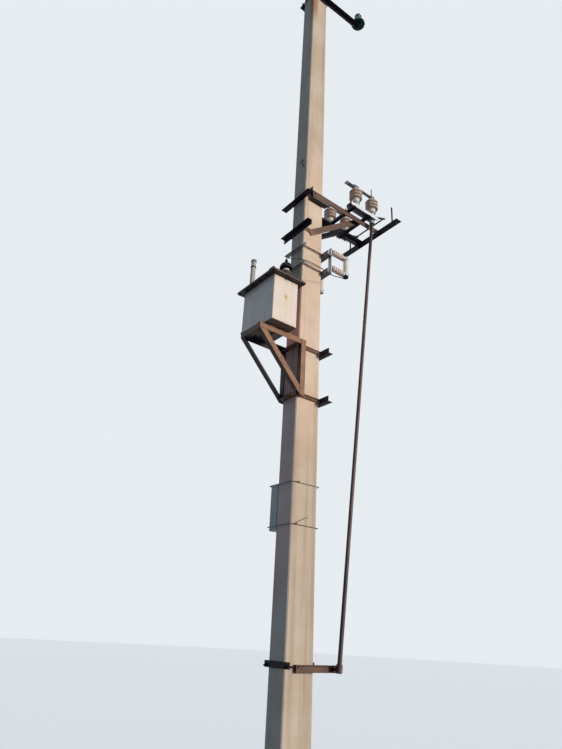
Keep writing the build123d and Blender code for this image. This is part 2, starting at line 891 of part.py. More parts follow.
# Fuses: a base plate, two ribbed insulators along X and an upright fuse tube
fuse_post_x = fuse_face_x + fuse_base_t
fuse_tube_x = fuse_post_x + fuse_post_length + fuse_tube_r
fuse_middles = (-near_fuse_y, far_fuse_y)
with BuildPart() as fuse_bases:
    for middle in fuse_middles:
        block(
            (fuse_face_x, fuse_post_x),
            (middle - fuse_base_width / 2, middle + fuse_base_width / 2),
            (fuse_base_bottom_z, fuse_base_top_z),
        )
finish(fuse_bases.part, "fuse_bases")

fuse_post_end = (fuse_post_cap_r, fuse_cap_h)
fuse_post_outline = shed_outline(
    fuse_post_length, fuse_shed_count, fuse_shed_r, fuse_post_core_r, fuse_post_end, fuse_post_end
)
with BuildPart() as fuse_posts:
    for middle in fuse_middles:
        for level in (fuse_post_upper_z, fuse_post_lower_z):
            origin = (fuse_post_x, middle, level)
            turned(Plane(origin=origin, x_dir=(0, -1, 0), z_dir=(0, 0, 1)), fuse_post_outline)
finish(fuse_posts.part, "fuse_posts")

fuse_tube_bottom_z = fuse_post_lower_z - fuse_tube_over
fuse_tube_top_z = fuse_post_upper_z + fuse_tube_over
with BuildPart() as fuse_tubes:
    for middle in fuse_middles:
        spot = (fuse_tube_x, middle)
        disc(spot, fuse_tube_bottom_z, fuse_tube_top_z - fuse_tube_bottom_z, fuse_tube_r)
finish(fuse_tubes.part, "fuse_tubes")

# Transformer tank, lid and fittings
tank_bottom_z = bracket_top_z + tank_skid_t
tank_top_z = tank_bottom_z + tank_height
with BuildPart() as tank:
    block((tank_outer_x, tank_inner_x), (-tank_half_width, tank_half_width), (tank_bottom_z, tank_top_z))
    fillet(tank.edges().filter_by(Axis.Z), tank_round)
    for edge_x in (tank_outer_x + tank_skid_inset, tank_inner_x - tank_skid_inset - tank_skid_width):
        block(
            (edge_x, edge_x + tank_skid_width),
            (-bracket_half_width, bracket_half_width),
            (bracket_top_z, tank_bottom_z),
        )
finish(tank.part, "tank")

lid_top_z = tank_top_z + lid_t + lid_pad_t
with BuildPart() as lid:
    block(
        (tank_outer_x - lid_over_x, tank_inner_x + lid_over_x),
        (-tank_half_width - lid_over_y, tank_half_width + lid_over_y),
        (tank_top_z, tank_top_z + lid_t),
    )
    block(
        (tank_outer_x - lid_over_x + lid_pad_inset, tank_inner_x + lid_over_x - lid_pad_inset),
        (-tank_half_width - lid_over_y + lid_pad_inset, tank_half_width + lid_over_y - lid_pad_inset),
        (tank_top_z + lid_t, lid_top_z),
    )
finish(lid.part, "lid")

with BuildPart() as filler_pipe:
    disc((filler_x, filler_y), lid_top_z, filler_height, filler_r)
    disc((filler_x, filler_y), lid_top_z + filler_height - filler_cap_h, filler_cap_h, filler_cap_r)
    disc((filler_x, filler_y), lid_top_z, filler_flange_h, filler_cap_r)
finish(filler_pipe.part, "filler_pipe")

bushing_shed_z = bushing_flange_h + bushing_foot_h
bushing_waist_z = bushing_shed_z + bushing_lower_shed_h
bushing_dome_z = bushing_waist_z + bushing_waist_h
bushing_cap_z = bushing_dome_z + bushing_dome_h
bushing_stem_z = bushing_cap_z + bushing_cap_h
bushing_height = bushing_stem_z + bushing_stem_h
bushing_outline = [
    (0, 0),
    (bushing_flange_r, 0),
    (bushing_flange_r, bushing_flange_h),
    (bushing_foot_r, bushing_flange_h),
    (bushing_foot_r, bushing_shed_z),
    (bushing_lower_shed_r, bushing_shed_z + 0.4 * bushing_lower_shed_h),
    (bushing_lower_shed_r, bushing_shed_z + 0.6 * bushing_lower_shed_h),
    (bushing_waist_r, bushing_waist_z),
    (bushing_waist_r, bushing_dome_z + bushing_hood_hollow),
    (bushing_dome_r - bushing_hood_t, bushing_dome_z),
    (bushing_dome_r, bushing_dome_z),
    (bushing_dome_r, bushing_dome_z + 0.30 * bushing_dome_h),
    (0.82 * bushing_dome_r, bushing_dome_z + 0.65 * bushing_dome_h),
    (0.50 * bushing_dome_r, bushing_dome_z + 0.92 * bushing_dome_h),
    (bushing_cap_r, bushing_cap_z),
    (bushing_cap_r, bushing_stem_z),
    (bushing_stem_r, bushing_stem_z),
    (bushing_stem_r, bushing_height),
    (0, bushing_height),
]
with BuildPart() as bushings:
    for side in (-1, 1):
        origin = (bushing_x, side * bushing_y, lid_top_z)
        turned(Plane(origin=origin, x_dir=(1, 0, 0), z_dir=(0, -1, 0)), bushing_outline)
finish(bushings.part, "bushings")

# Transformer bracket of steel angles
bracket_bottom_z = bracket_top_z - bracket_leg
bracket_seat = half_depth(bracket_post_bottom_z)
post_outer_x = -bracket_seat - bracket_t
inner_leg_y = bracket_half_width - bracket_leg
with BuildPart() as bracket_arms:
    angle_along_x(
        (bracket_outer_x, post_outer_x),
        (-bracket_half_width, bracket_top_z),
        (bracket_leg, -bracket_leg),
        bracket_t,
    )
    mirror(about=Plane.XZ)
finish(bracket_arms.part, "bracket_arms")

bracket_stud_levels = []
for level in (bracket_upper_stud_z, bracket_lower_stud_z):
    bracket_stud_levels += [level - bracket_stud_pitch / 2, level + bracket_stud_pitch / 2]
bracket_stud_spots = [(side * stud_y, z) for z in bracket_stud_levels for side in (-1, 1)]
with BuildPart() as bracket_posts:
    with BuildSketch(Plane.XY.offset(bracket_post_bottom_z)):
        with BuildLine():
            Polyline(
                *angle_outline(
                    (post_outer_x, -bracket_half_width), (bracket_leg, bracket_leg), bracket_t
                ),
                close=True,
            )
        make_face()
    extrude(amount=bracket_top_z - bracket_post_bottom_z)
    mirror(about=Plane.XZ)
    rods_along_x((-2 * pole_base_depth, 0), bracket_stud_spots, stud_hole_r, Mode.SUBTRACT)
finish(bracket_posts.part, "bracket_posts")

# Bracket struts: angles with level-cut heads under the arms and feet against the posts
outer_low = (bracket_outer_x, bracket_bottom_z)
outer_high = (bracket_outer_x + bracket_strut_width_x, bracket_bottom_z)
inner_low = (post_outer_x, bracket_post_bottom_z + bracket_strut_lift)
inner_high = (post_outer_x, inner_low[1] + bracket_strut_width_z)
bracket_slope = atan2(outer_low[1] - inner_low[1], inner_low[0] - outer_low[0])
flange_run = bracket_t / sin(bracket_slope)
flange_head_z = bracket_bottom_z - bracket_t
flange_head_x = outer_low[0] + bracket_t / tan(bracket_slope)
flange_foot_z = bracket_lower_stud_z + bracket_stud_pitch / 2 + stud_r + bracket_flange_gap
flange_foot_x = post_outer_x - (flange_foot_z - inner_low[1]) / tan(bracket_slope)
flange_outline = [
    (flange_head_x, flange_head_z),
    (flange_head_x + flange_run, flange_head_z),
    (flange_foot_x + flange_run, flange_foot_z),
    (flange_foot_x, flange_foot_z),
]
face_y = -bracket_half_width + bracket_t
with BuildPart() as bracket_struts:
    plate_in_xz([outer_low, outer_high, inner_high, inner_low], (-bracket_half_width, face_y))
    plate_in_xz(flange_outline, (face_y, face_y + bracket_strut_flange))
    mirror(about=Plane.XZ)
finish(bracket_struts.part, "bracket_struts")

# Cross members: outer, inner and bottom
arm_inside = bracket_half_width - bracket_t
under_arm_z = bracket_top_z - bracket_t
with BuildPart() as bracket_cross_members:
    angle_along_y(
        (-arm_inside, arm_inside),
        (bracket_outer_x, under_arm_z - bracket_leg),
        (bracket_leg, bracket_leg),
        bracket_t,
    )
    angle_along_y(
        (-inner_leg_y, inner_leg_y),
        (-bracket_seat, bracket_top_z - bracket_leg),
        (-bracket_leg, bracket_leg),
        bracket_t,
    )
    angle_along_y(
        (-inner_leg_y, inner_leg_y),
        (-bracket_seat, bracket_post_bottom_z),
        (-bracket_leg, bracket_leg),
        bracket_t,
    )
finish(bracket_cross_members.part, "bracket_cross_members")

# Back bars on the +X face and the paired studs along both Y faces
with BuildPart() as bracket_back_bars:
    for level in (bracket_upper_stud_z, bracket_lower_stud_z):
        low = level - back_bar_drop
        angle_along_y(
            (-back_bar_half, back_bar_half),
            (half_depth(low), low),
            (back_bar_leg, back_bar_leg),
            back_bar_t,
        )
    rods_along_x((0, 2 * pole_base_depth), bracket_stud_spots, stud_hole_r, Mode.SUBTRACT)
finish(bracket_back_bars.part, "bracket_back_bars")

with BuildPart() as bracket_studs:
    bracket_stud_reach = bracket_seat + back_bar_t + stud_tip
    rods_along_x((-bracket_stud_reach, bracket_stud_reach), bracket_stud_spots, stud_r)
finish(bracket_studs.part, "bracket_studs")

# Low-voltage box on the +Y face, with its door facing away from the pole
box_top_z = box_bottom_z + box_height
box_x = (-half_depth(box_bottom_z), -half_depth(box_bottom_z) + box_width)
box_front_y = half_width + box_depth - box_door_t
with BuildPart() as low_voltage_box:
    block(box_x, (half_width, box_front_y), (box_bottom_z, box_top_z))
finish(low_voltage_box.part, "low_voltage_box")

with BuildPart() as box_door:
    block(
        (box_x[0] + box_door_rim, box_x[1] - box_door_rim),
        (box_front_y, box_front_y + box_door_t),
        (box_bottom_z + box_door_rim, box_top_z - box_door_rim),
    )
finish(box_door.part, "box_door")

# Wire bands round the pole and the box
band_x = (-pole_base_depth / 2 - band_r - band_gap, box_x[1] + band_r + band_gap)
band_y = (-half_width - band_r - band_gap, half_width + box_depth + band_r + band_gap)
with BuildPart() as box_bands:
    for level in (box_bottom_z + band_lower_inset, box_top_z - band_upper_inset):
        with BuildSketch(Plane.XY.offset(level)) as loop:
            with Locations(((band_x[0] + band_x[1]) / 2, (band_y[0] + band_y[1]) / 2)):
                RectangleRounded(band_x[1] - band_x[0], band_y[1] - band_y[0], band_corner_r)
        wire = loop.sketch.faces()[0].outer_wire()
        with BuildSketch(Plane(origin=wire @ 0, z_dir=wire % 0)) as section:
            Circle(band_r)
        sweep(section.sketch, path=wire)
finish(box_bands.part, "box_bands")

# Stiff leads from the bushings, along the Y faces of the pole, to the fuses
bushing_top_z = lid_top_z + bushing_height


def lead_route(side, fuse_y):
    """Points of one lead, on the pole's side named, to the fuse fuse_y away."""
    route = [
        (bushing_x, side * bushing_y, bushing_top_z),
        (bushing_x, side * bushing_y, bushing_top_z + lead_terminal_rise),
    ]
    for x, outside, share, z in lead_bends:
        route.append((x, side * (stud_y + outside + share * (fuse_y - stud_y)), z))
    route.append((fuse_tube_x, side * fuse_y, fuse_tube_bottom_z - lead_tail))
    route.append((fuse_tube_x, side * fuse_y, fuse_tube_bottom_z))
    return route


def route_radii(route):
    """Bend radii, as large as each point's two runs allow."""
    radii = []
    for before, corner, after in zip(route, route[1:], route[2:]):
        run_in = Vector(corner) - Vector(before)
        run_out = Vector(after) - Vector(corner)
        half_turn = radians(run_in.get_angle(run_out)) / 2
        radii.append(0.45 * min(run_in.length, run_out.length) / tan(half_turn))
    return radii


for side, fuse_y, phase in ((-1, near_fuse_y, "near"), (1, far_fuse_y, "far")):
    route = lead_route(side, fuse_y)
    with BuildPart() as lead:
        with BuildLine():
            FilletPolyline(*route, radius=route_radii(route))
        with BuildSketch(Plane(origin=route[0], z_dir=(0, 0, 1))):
            Circle(lead_r)
        sweep()
    finish(lead.part, phase + "_lead")
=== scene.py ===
import json
from math import cos, pi, radians, sin, tan

import bmesh
import bpy
from mathutils import Matrix, Vector


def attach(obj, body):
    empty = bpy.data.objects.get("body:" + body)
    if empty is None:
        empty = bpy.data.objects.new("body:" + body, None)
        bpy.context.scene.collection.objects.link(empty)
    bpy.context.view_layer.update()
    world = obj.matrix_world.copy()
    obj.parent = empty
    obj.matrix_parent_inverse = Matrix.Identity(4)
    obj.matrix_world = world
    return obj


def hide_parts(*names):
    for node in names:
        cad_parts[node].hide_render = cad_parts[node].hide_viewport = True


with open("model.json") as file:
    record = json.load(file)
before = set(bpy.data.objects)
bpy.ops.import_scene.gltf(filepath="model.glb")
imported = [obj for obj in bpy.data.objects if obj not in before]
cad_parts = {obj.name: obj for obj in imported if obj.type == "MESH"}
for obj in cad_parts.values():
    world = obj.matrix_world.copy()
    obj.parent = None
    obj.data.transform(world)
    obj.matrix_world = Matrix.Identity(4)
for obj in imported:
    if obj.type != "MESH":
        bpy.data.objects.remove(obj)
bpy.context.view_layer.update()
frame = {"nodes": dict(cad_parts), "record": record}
nodes = frame["nodes"]
ROOT = "pole_and_steelwork"
MM = 0.001


# Finishes


class Signal:
    """A number on a shader socket, open to plain arithmetic."""

    def __init__(self, wiring, socket):
        self.wiring = wiring
        self.socket = socket

    def math(self, operation, *others, clamp=False):
        values = dict(enumerate((self,) + others))
        settings = {"operation": operation, "use_clamp": clamp}
        return self.wiring.add("ShaderNodeMath", settings, values)["Value"]

    def __add__(self, other):
        return self.math("ADD", other)

    __radd__ = __add__

    def __mul__(self, other):
        return self.math("MULTIPLY", other)

    def __sub__(self, other):
        return self.math("SUBTRACT", other)

    def __rsub__(self, other):
        return (self * -1.0).math("ADD", other)

    def __pow__(self, other):
        return self.math("POWER", other)

    def clamp(self):
        return self.math("ADD", 0.0, clamp=True)

    def over(self, low, high, below=0.0, above=1.0):
        """0 below low, 1 above high, smooth between."""
        values = {"Value": self, 1: low, 2: high, 3: below, 4: above}
        settings = {"interpolation_type": "SMOOTHSTEP"}
        return self.wiring.add("ShaderNodeMapRange", settings, values)["Result"]

    def under(self, low, high):
        """1 below low, 0 above high, smooth between."""
        return self.over(low, high, 1.0, 0.0)

    def between(self, rise, fall):
        """1 from the end of the rise to the start of the fall, 0 outside both."""
        return self.over(*rise) * self.under(*fall)


class Outlets:
    """A node's outputs by name or number, each as a Signal."""

    def __init__(self, wiring, node):
        self.wiring = wiring
        self.node = node

    def __getitem__(self, name):
        return Signal(self.wiring, self.node.outputs[name])


class Wiring:
    """A node tree that gets its nodes and their links from one method."""

    def __init__(self, tree):
        self.tree = tree

    def add(self, kind, settings=None, values=None):
        node = self.tree.nodes.new(kind)
        for key, value in (settings or {}).items():
            setattr(node, key, value)
        for key, value in (values or {}).items():
            self.feed(node.inputs[key], value)
        return Outlets(self, node)

    def feed(self, socket, value):
        if isinstance(value, Signal):
            self.tree.links.new(value.socket, socket)
        elif socket.type == "RGBA" and len(value) == 3:
            socket.default_value = (*value, 1)
        else:
            socket.default_value = value

    def seen_directly(self):
        """1 for what the camera sees straight on, in metal or through glass."""
        rays = self.add("ShaderNodeLightPath")
        through = rays["Is Glossy Ray"].math("MAXIMUM", rays["Is Transmission Ray"])
        return rays["Is Camera Ray"].math("MAXIMUM", through)


class Finish(Wiring):
    """One procedural material on the object's own coordinates, in metres."""

    def __init__(self, name, **fixed):
        self.material = bpy.data.materials.new(name)
        self.material.use_nodes = True
        super().__init__(self.material.node_tree)
        self.shader = self.tree.nodes["Principled BSDF"]
        for socket, value in fixed.items():
            self.shader.inputs[socket.replace("_", " ")].default_value = value
        self.place = self.add("ShaderNodeTexCoord")["Object"]

    def noise(self, scale, detail=3.0, roughness=0.55, stretch=None):
        place = self.place
        if stretch:
            values = {"Vector": place, "Scale": stretch}
            place = self.add("ShaderNodeMapping", None, values)["Vector"]
        values = {"Vector": place, "Scale": scale, "Detail": detail, "Roughness": roughness}
        return self.add("ShaderNodeTexNoise", None, values)["Fac"]

    def cells(self, scale, output="Distance", feature="F1"):
        values = {"Vector": self.place, "Scale": scale}
        return self.add("ShaderNodeTexVoronoi", {"feature": feature}, values)[output]

    def mix(self, share, low, high, blend="MIX"):
        settings = {"data_type": "RGBA", "blend_type": blend}
        return self.add("ShaderNodeMix", settings, {0: share, 6: low, 7: high})[2]

    def ground(self, share, low, high):
        """Start the colour between two tones."""
        self.colour = self.mix(share, low, high)

    def lay(self, share, tone, blend="MIX"):
        """Lay a tone over the colour so far."""
        self.colour = self.mix(share, self.colour, tone, blend)

    def tint(self, share, tone):
        self.lay(share, tone, "MULTIPLY")

    def parts(self, vector):
        split = self.add("ShaderNodeSeparateXYZ", None, {"Vector": vector})
        return split["X"], split["Y"], split["Z"]

    def axes(self):
        return self.parts(self.place)

    def facing(self):
        """The surface's own direction, split into X, Y and Z."""
        return self.parts(self.add("ShaderNodeNewGeometry")["Normal"])

    def against(self, axis, low=-0.9, high=-0.4):
        """1 on faces that look against an axis, numbered from X on, and 0 on the rest."""
        return self.facing()[axis].under(low, high)

    def edges(self, radius, strength=3.0):
        """1 on worn edges, 0 on flat faces."""
        soft = self.add("ShaderNodeBevel", {"samples": 4}, {"Radius": radius})["Normal"]
        sharp = self.add("ShaderNodeNewGeometry")["Normal"]
        settings = {"operation": "DOT_PRODUCT"}
        match = self.add("ShaderNodeVectorMath", settings, {0: soft, 1: sharp})["Value"]
        return ((1.0 - match) * strength).clamp()

    def relief(self, height, strength, distance):
        values = {"Height": height, "Strength": strength, "Distance": distance}
        bump = self.add("ShaderNodeBump", None, values)["Normal"]
        self.feed(self.shader.inputs["Normal"], bump)

    def show(self, **inputs):
        for name, value in {"Base Color": self.colour, **inputs}.items():
            self.feed(self.shader.inputs[name.replace("_", " ")], value)
        return self.material


def darker(colour, share):
    return tuple(c * share for c in colour)


# Where a finish changes: each soft step from its start to its end, in metres
DAMP_FOOT = (0.0, 0.7)
BELOW_BOX = (1.4, 2.6)
DRIVE_LEVEL = (1.9, 2.3)
MIDDLE_RISE, MIDDLE_FALL = (2.7, 3.4), (5.7, 6.7)
BRACKET_FOOT = (3.25, 3.55)
LID_LEVEL = (4.42, 4.60)
FRAME_LEVEL = (5.1, 5.2)
RUST_RUN_RISE = (8.20, 8.65)
POLE_CORNER = (-0.09, -0.0925)
CRACK_Z, CRACK_SLOPE = 4.597, 0.29
FAR_SIDE = (0.0, 0.10)
PAST_POLE = (0.02, 0.05)
BACK_BARS = (-0.153, -0.147)
BAR_CUTS = (-0.10, -0.095)
BAR_START, BAR_END = (0.10, 0.11), (0.232, 0.236)
STAIN_AT = (-0.388, -0.226, 4.197)
STAIN_TAIL_RISE, STAIN_TAIL_FALL = (4.05, 4.16), (4.18, 4.21)
TANK_FRONT = (-0.225, -0.222)
TANK_FLOOR = (3.935, 3.940)
TANK_LOW_RIM, TANK_TOP_RIM = (3.938, 3.975), (4.31, 4.378)
FOOT_GLAZE, HOOD_GLAZE = (4.524, 4.526), (4.5535, 4.5545)
PAINTED_BANDS = (0.088, 0.094)


def cast_concrete():
    """Streaked concrete, darker above and below mid-height on faces not against X; painted shade on the side
    against X, cooler and darker, reddish between the bracket's foot and the lid.
    """
    f = Finish("cast_concrete")
    x, y, z = f.axes()
    broad = f.noise(2.2, 5, 0.6)
    streaks = f.noise(9.0, 5, 0.65, (1, 1, 0.035))
    fine_streaks = f.noise(60.0, 3, 0.6, (1, 1, 0.02))
    grain = f.noise(420.0, 3, 0.6)
    pits = f.cells(70.0).under(0.05, 0.16) * f.noise(14.0, 2).over(0.52, 0.62)
    f.ground(broad.over(0.35, 0.68), (0.72, 0.505, 0.362), (0.84, 0.637, 0.488))
    f.lay(streaks.over(0.45, 0.70) * 0.6, (0.40, 0.285, 0.205))
    f.lay(fine_streaks.over(0.48, 0.72) * 0.4, (0.78, 0.655, 0.525))
    f.lay(grain.over(0.35, 0.75) * 0.18, (0.33, 0.27, 0.21))
    damp = z.under(*DAMP_FOOT) * broad.over(0.3, 0.6)
    f.lay(damp * 0.5, (0.24, 0.20, 0.16))
    f.lay(pits * 0.6, (0.20, 0.16, 0.13))
    edge = f.edges(0.008, 2.5) * f.noise(35.0, 4).over(0.4, 0.65)
    f.lay(edge * 0.45, (0.78, 0.70, 0.60))
    aside, ahead = x - POLE_CORNER[0], y - POLE_CORNER[1]
    corner = (aside * aside + ahead * ahead) ** 0.5
    rust_run = corner.under(0.025, 0.085) * z.over(*RUST_RUN_RISE) * streaks.over(0.25, 0.5)
    f.lay(rust_run * 0.9, (0.42, 0.20, 0.10))
    # Painted shade: faces against X tinted cooler and darker, reddish between the bracket's foot and the
    # lid, greenish above the lid and below the box.
    shaded = f.against(0)
    f.tint(shaded, (0.87, 0.89, 1.09))
    f.tint(shaded * z.between(BRACKET_FOOT, LID_LEVEL), (0.91, 0.70, 0.69))
    f.tint(shaded * z.over(*LID_LEVEL), (0.77, 0.89, 0.83))
    f.tint(shaded * z.under(*BELOW_BOX), (0.80, 0.93, 0.88))
    # Faces not against X are darker above and below mid-height.
    darker_off_middle = (1.0 - shaded) * (1.0 - z.between(MIDDLE_RISE, MIDDLE_FALL))
    f.tint(darker_off_middle, (0.80, 0.83, 0.82))
    off_crack = z - CRACK_Z - x * CRACK_SLOPE - streaks * 0.004
    crack = ((off_crack * off_crack) ** 0.5).under(0.002, 0.008) * f.against(1)
    f.lay(crack * 0.45, (0.25, 0.15, 0.10))
    f.relief(grain * 0.4 + broad * 0.6 - pits * 2.0 + fine_streaks * 0.3, 0.35, 0.002)
    return f.show(Roughness=0.82 + grain * 0.12)


def steel_primer(name, coat, shade, rust, dust, rust_share, gloss=0.3):
    """Brush-painted steel: rust at edges and in patches, dust on top, painted shade on the far side, on
    faces against X and underneath, and darker up at the frame and down at the drive.
    """
    f = Finish(name, Specular_IOR_Level=gloss)
    patches = f.noise(11.0, 6, 0.62)
    spots = f.noise(70.0, 5, 0.6)
    runs = f.noise(30.0, 4, 0.6, (1, 1, 0.12))
    brush = f.noise(160.0, 2, 0.5, (0.08, 1, 1))
    _, y, z = f.axes()
    f.ground(patches.over(0.35, 0.65), coat, shade)
    f.lay(runs.over(0.5, 0.75) * 0.35, darker(shade, 0.55))
    worn = (f.edges(0.004) * spots.over(0.35, 0.6)).clamp()
    rusty = (patches * 0.55 + spots * 0.45).over(0.60 - rust_share, 0.70 - rust_share)
    rusty = (rusty + worn * 0.8).clamp()
    f.lay(rusty, f.mix(spots.over(0.3, 0.7), rust, darker(rust, 0.45)))
    lying = f.facing()[2].over(0.3, 0.9) * f.noise(25.0, 4).over(0.3, 0.6)
    f.lay(lying * 0.55, dust)
    # Painted shade on the far side, on faces against X and on undersides, plus darkening up at the frame and
    # down at the drive, laid as near-black.
    shade_and_height_darkening = y.over(*FAR_SIDE) + f.against(0) * 0.75 + f.against(2) * 0.5
    shade_and_height_darkening = (shade_and_height_darkening + z.over(*FRAME_LEVEL) * 0.6 + z.under(*DRIVE_LEVEL) * 0.55).clamp()
    f.lay(shade_and_height_darkening * 0.97, (0.014, 0.011, 0.019))
    f.relief(brush * 0.25 + rusty * spots * 1.4, 0.45, 0.0012)
    return f.show(Roughness=0.52 + rusty * 0.34 + lying * 0.1)


def zinc_coat(name, tone, dull, bars_dark=1.0):
    """Dull galvanised steel with stains; painted shade underneath, strongest past the pole and on the back
    bars, and on the fuse bars past the pole; darker end faces on the bars on the -X side.
    """
    f = Finish(name, Metallic=0.12, Specular_IOR_Level=0.4)
    flakes = f.cells(90.0, "Color", "SMOOTH_F1")
    flake = f.add("ShaderNodeSeparateColor", None, {"Color": flakes})["Red"]
    cloud = f.noise(14.0, 5, 0.6)
    stain = f.noise(48.0, 5, 0.65).over(0.56, 0.72)
    f.ground(flake, tone, tuple(min(1, c * 1.25) for c in tone))
    f.lay(cloud.over(0.4, 0.7) * 0.7, dull)
    f.lay(stain * 0.35, (0.26, 0.20, 0.15))
    x, _, z = f.axes()
    # Painted shade on undersides: full past the pole and on the back bars, 0.4 elsewhere.
    underside_shade_weight = x.over(*PAST_POLE) + x.under(*BACK_BARS) + 0.4
    underside_shade = f.against(2, -0.8, -0.4) * underside_shade_weight.clamp()
    # Painted shade on the fuse bars past the pole, below the frame.
    bars = x.between(BAR_START, BAR_END) * z.under(*FRAME_LEVEL) * bars_dark
    f.lay((underside_shade * 0.8 + bars * 0.8).clamp(), (0.065, 0.065, 0.085))
    cut_ends = f.against(1, -0.9, -0.5) * x.under(*BAR_CUTS) * bars_dark
    f.lay(cut_ends * 0.75, (0.13, 0.115, 0.105))
    f.relief(flake * 0.2 + cloud, 0.2, 0.0008)
    return f.show(Roughness=0.34 + cloud * 0.28 + stain * 0.25)


def tarnished_metal():
    f = Finish("tarnished_contact_metal", Metallic=0.5)
    cloud = f.noise(30.0, 5, 0.6)
    drawn = f.noise(300.0, 2, 0.5, (0.03, 1, 1))
    f.ground(cloud.over(0.35, 0.7), (0.27, 0.275, 0.30), (0.13, 0.135, 0.15))
    f.lay(drawn.over(0.45, 0.8) * 0.3, (0.16, 0.16, 0.17))
    f.relief(drawn, 0.15, 0.0004)
    return f.show(Roughness=0.30 + cloud * 0.3)


def glazed(name, tone, shade, dust):
    """Glazed porcelain with dark specks, dust on the upper sides and darker drips."""
    f = Finish(name, Coat_Weight=0.4, Coat_Roughness=0.25)
    pool = f.noise(26.0, 4, 0.55)
    speck = f.noise(240.0, 3, 0.6)
    f.ground(pool.over(0.35, 0.7), tone, shade)
    f.lay(speck.over(0.62, 0.75) * 0.35, darker(shade, 0.5))
    lying = f.facing()[2].over(0.05, 0.8) * f.noise(45.0, 4).over(0.25, 0.6)
    f.lay(lying * 0.5, dust)
    drips = f.noise(40.0, 4, 0.6, (1, 1, 0.1)).over(0.55, 0.7)
    f.lay(drips * 0.22, darker(dust, 0.5))
    f.relief(pool, 0.12, 0.0008)
    return f.show(Roughness=0.24 + lying * 0.4 + drips * 0.15)


def bottle_glass():
    f = Finish("bottle_green_glass", Transmission_Weight=0.25, IOR=1.5)
    cloud = f.noise(20.0, 3, 0.5)
    lying = f.facing()[2].over(0.1, 0.8) * f.noise(60.0, 4, 0.6).over(0.35, 0.65)
    f.ground(cloud, (0.016, 0.120, 0.105), (0.030, 0.190, 0.160))
    f.lay(lying * 0.15, (0.24, 0.29, 0.26))
    f.relief(cloud, 0.15, 0.002)
    return f.show(Roughness=0.10 + lying * 0.3)


def tank_cream():
    """Cream paint with one rust stain and worn rims; painted shade on the underside and the floor, and a
    cooler, darker painted shade on the side against X.
    """
    f = Finish("tank_cream_paint", Coat_Weight=0.12, Coat_Roughness=0.35)
    x, y, z = f.axes()
    cloud = f.noise(3.5, 5, 0.6)
    drips = f.noise(22.0, 5, 0.62, (1, 1, 0.045))
    chips = f.noise(85.0, 5, 0.62)
    peel = f.noise(500.0, 2, 0.5)
    f.ground(cloud.over(0.3, 0.7), (0.775, 0.63, 0.515), (0.83, 0.695, 0.585))
    f.lay(drips.over(0.5, 0.72) * 0.30, (0.50, 0.40, 0.29))
    across, deep, down = x - STAIN_AT[0], y - STAIN_AT[1], z - STAIN_AT[2]
    spot = (across * across * 1.3 + down * down * 0.75 + deep * deep) ** 0.5
    halo, heart = spot.under(0.012, 0.040), spot.under(0.003, 0.017)
    tail = (across * across).under(0.00002, 0.0003) * z.between(STAIN_TAIL_RISE, STAIN_TAIL_FALL)
    tail = tail * y.under(*TANK_FRONT) * drips.over(0.3, 0.55)
    f.lay((halo * 0.8 + tail * 0.25).clamp(), (0.66, 0.49, 0.21))
    f.lay(heart * 0.85, (0.33, 0.22, 0.08))
    top_rim = z.over(*TANK_TOP_RIM) * drips.over(0.42, 0.6)
    low_rim = z.under(*TANK_LOW_RIM) * chips.over(0.4, 0.6)
    worn = (f.edges(0.005) * chips.over(0.46, 0.6) + (top_rim + low_rim) * 0.45).clamp()
    f.lay(worn * 0.8, (0.30, 0.17, 0.09))
    bare = chips.over(0.66, 0.70)
    f.lay(bare * 0.55, (0.34, 0.20, 0.11))
    # Painted shade on the tank's underside and floor.
    underside_shade = (f.against(2, -0.9, -0.5) + z.under(*TANK_FLOOR)).clamp()
    f.lay(underside_shade * 0.85, (0.085, 0.06, 0.045))
    # Painted shade: the side against X tinted cooler and darker.
    f.tint(f.against(0), (0.79, 0.86, 1.0))
    f.relief(cloud * 0.5 + peel * 0.12 - bare * 0.4, 0.25, 0.0015)
    return f.show(Roughness=0.42 + drips * 0.18 + worn * 0.3)


def bushing_glaze():
    """Near-black hood, bare white neck and brown glaze on the foot."""
    f = Finish("bushing_brown_and_white_glaze", Specular_IOR_Level=0.12)
    pool = f.noise(30.0, 4, 0.55)
    tones = pool.over(0.3, 0.7)
    dark = f.mix(tones, (0.009, 0.008, 0.011), (0.022, 0.016, 0.016))
    white = f.mix(tones, (0.80, 0.77, 0.72), (0.66, 0.60, 0.53))
    foot = f.mix(tones, (0.11, 0.072, 0.055), (0.17, 0.115, 0.085))
    ragged = f.axes()[2] + pool * 0.004
    f.ground(ragged.over(*FOOT_GLAZE), foot, white)
    f.lay(ragged.over(*HOOD_GLAZE), dark)
    lying = f.facing()[2].over(0.1, 0.9) * f.noise(50.0, 4).over(0.35, 0.65)
    f.lay(lying * 0.08, (0.30, 0.26, 0.22))
    f.relief(pool, 0.1, 0.0008)
    return f.show(Roughness=0.42 + lying * 0.4)


def box_enamel():
    f = Finish("box_grey_green_enamel", Coat_Weight=0.2, Coat_Roughness=0.3)
    cloud = f.noise(8.0, 5, 0.6)
    drips = f.noise(34.0, 5, 0.6, (1, 1, 0.06))
    chips = f.noise(110.0, 5, 0.6)
    f.ground(cloud.over(0.3, 0.7), (0.215, 0.285, 0.300), (0.275, 0.345, 0.345))
    f.lay(drips.over(0.52, 0.72) * 0.35, (0.40, 0.41, 0.37))
    worn = (f.edges(0.004) * chips.over(0.42, 0.58)).clamp()
    f.lay(worn, (0.30, 0.16, 0.09))
    f.relief(cloud * 0.4 + chips * 0.15, 0.2, 0.001)
    return f.show(Roughness=0.40 + drips * 0.2 + worn * 0.3)


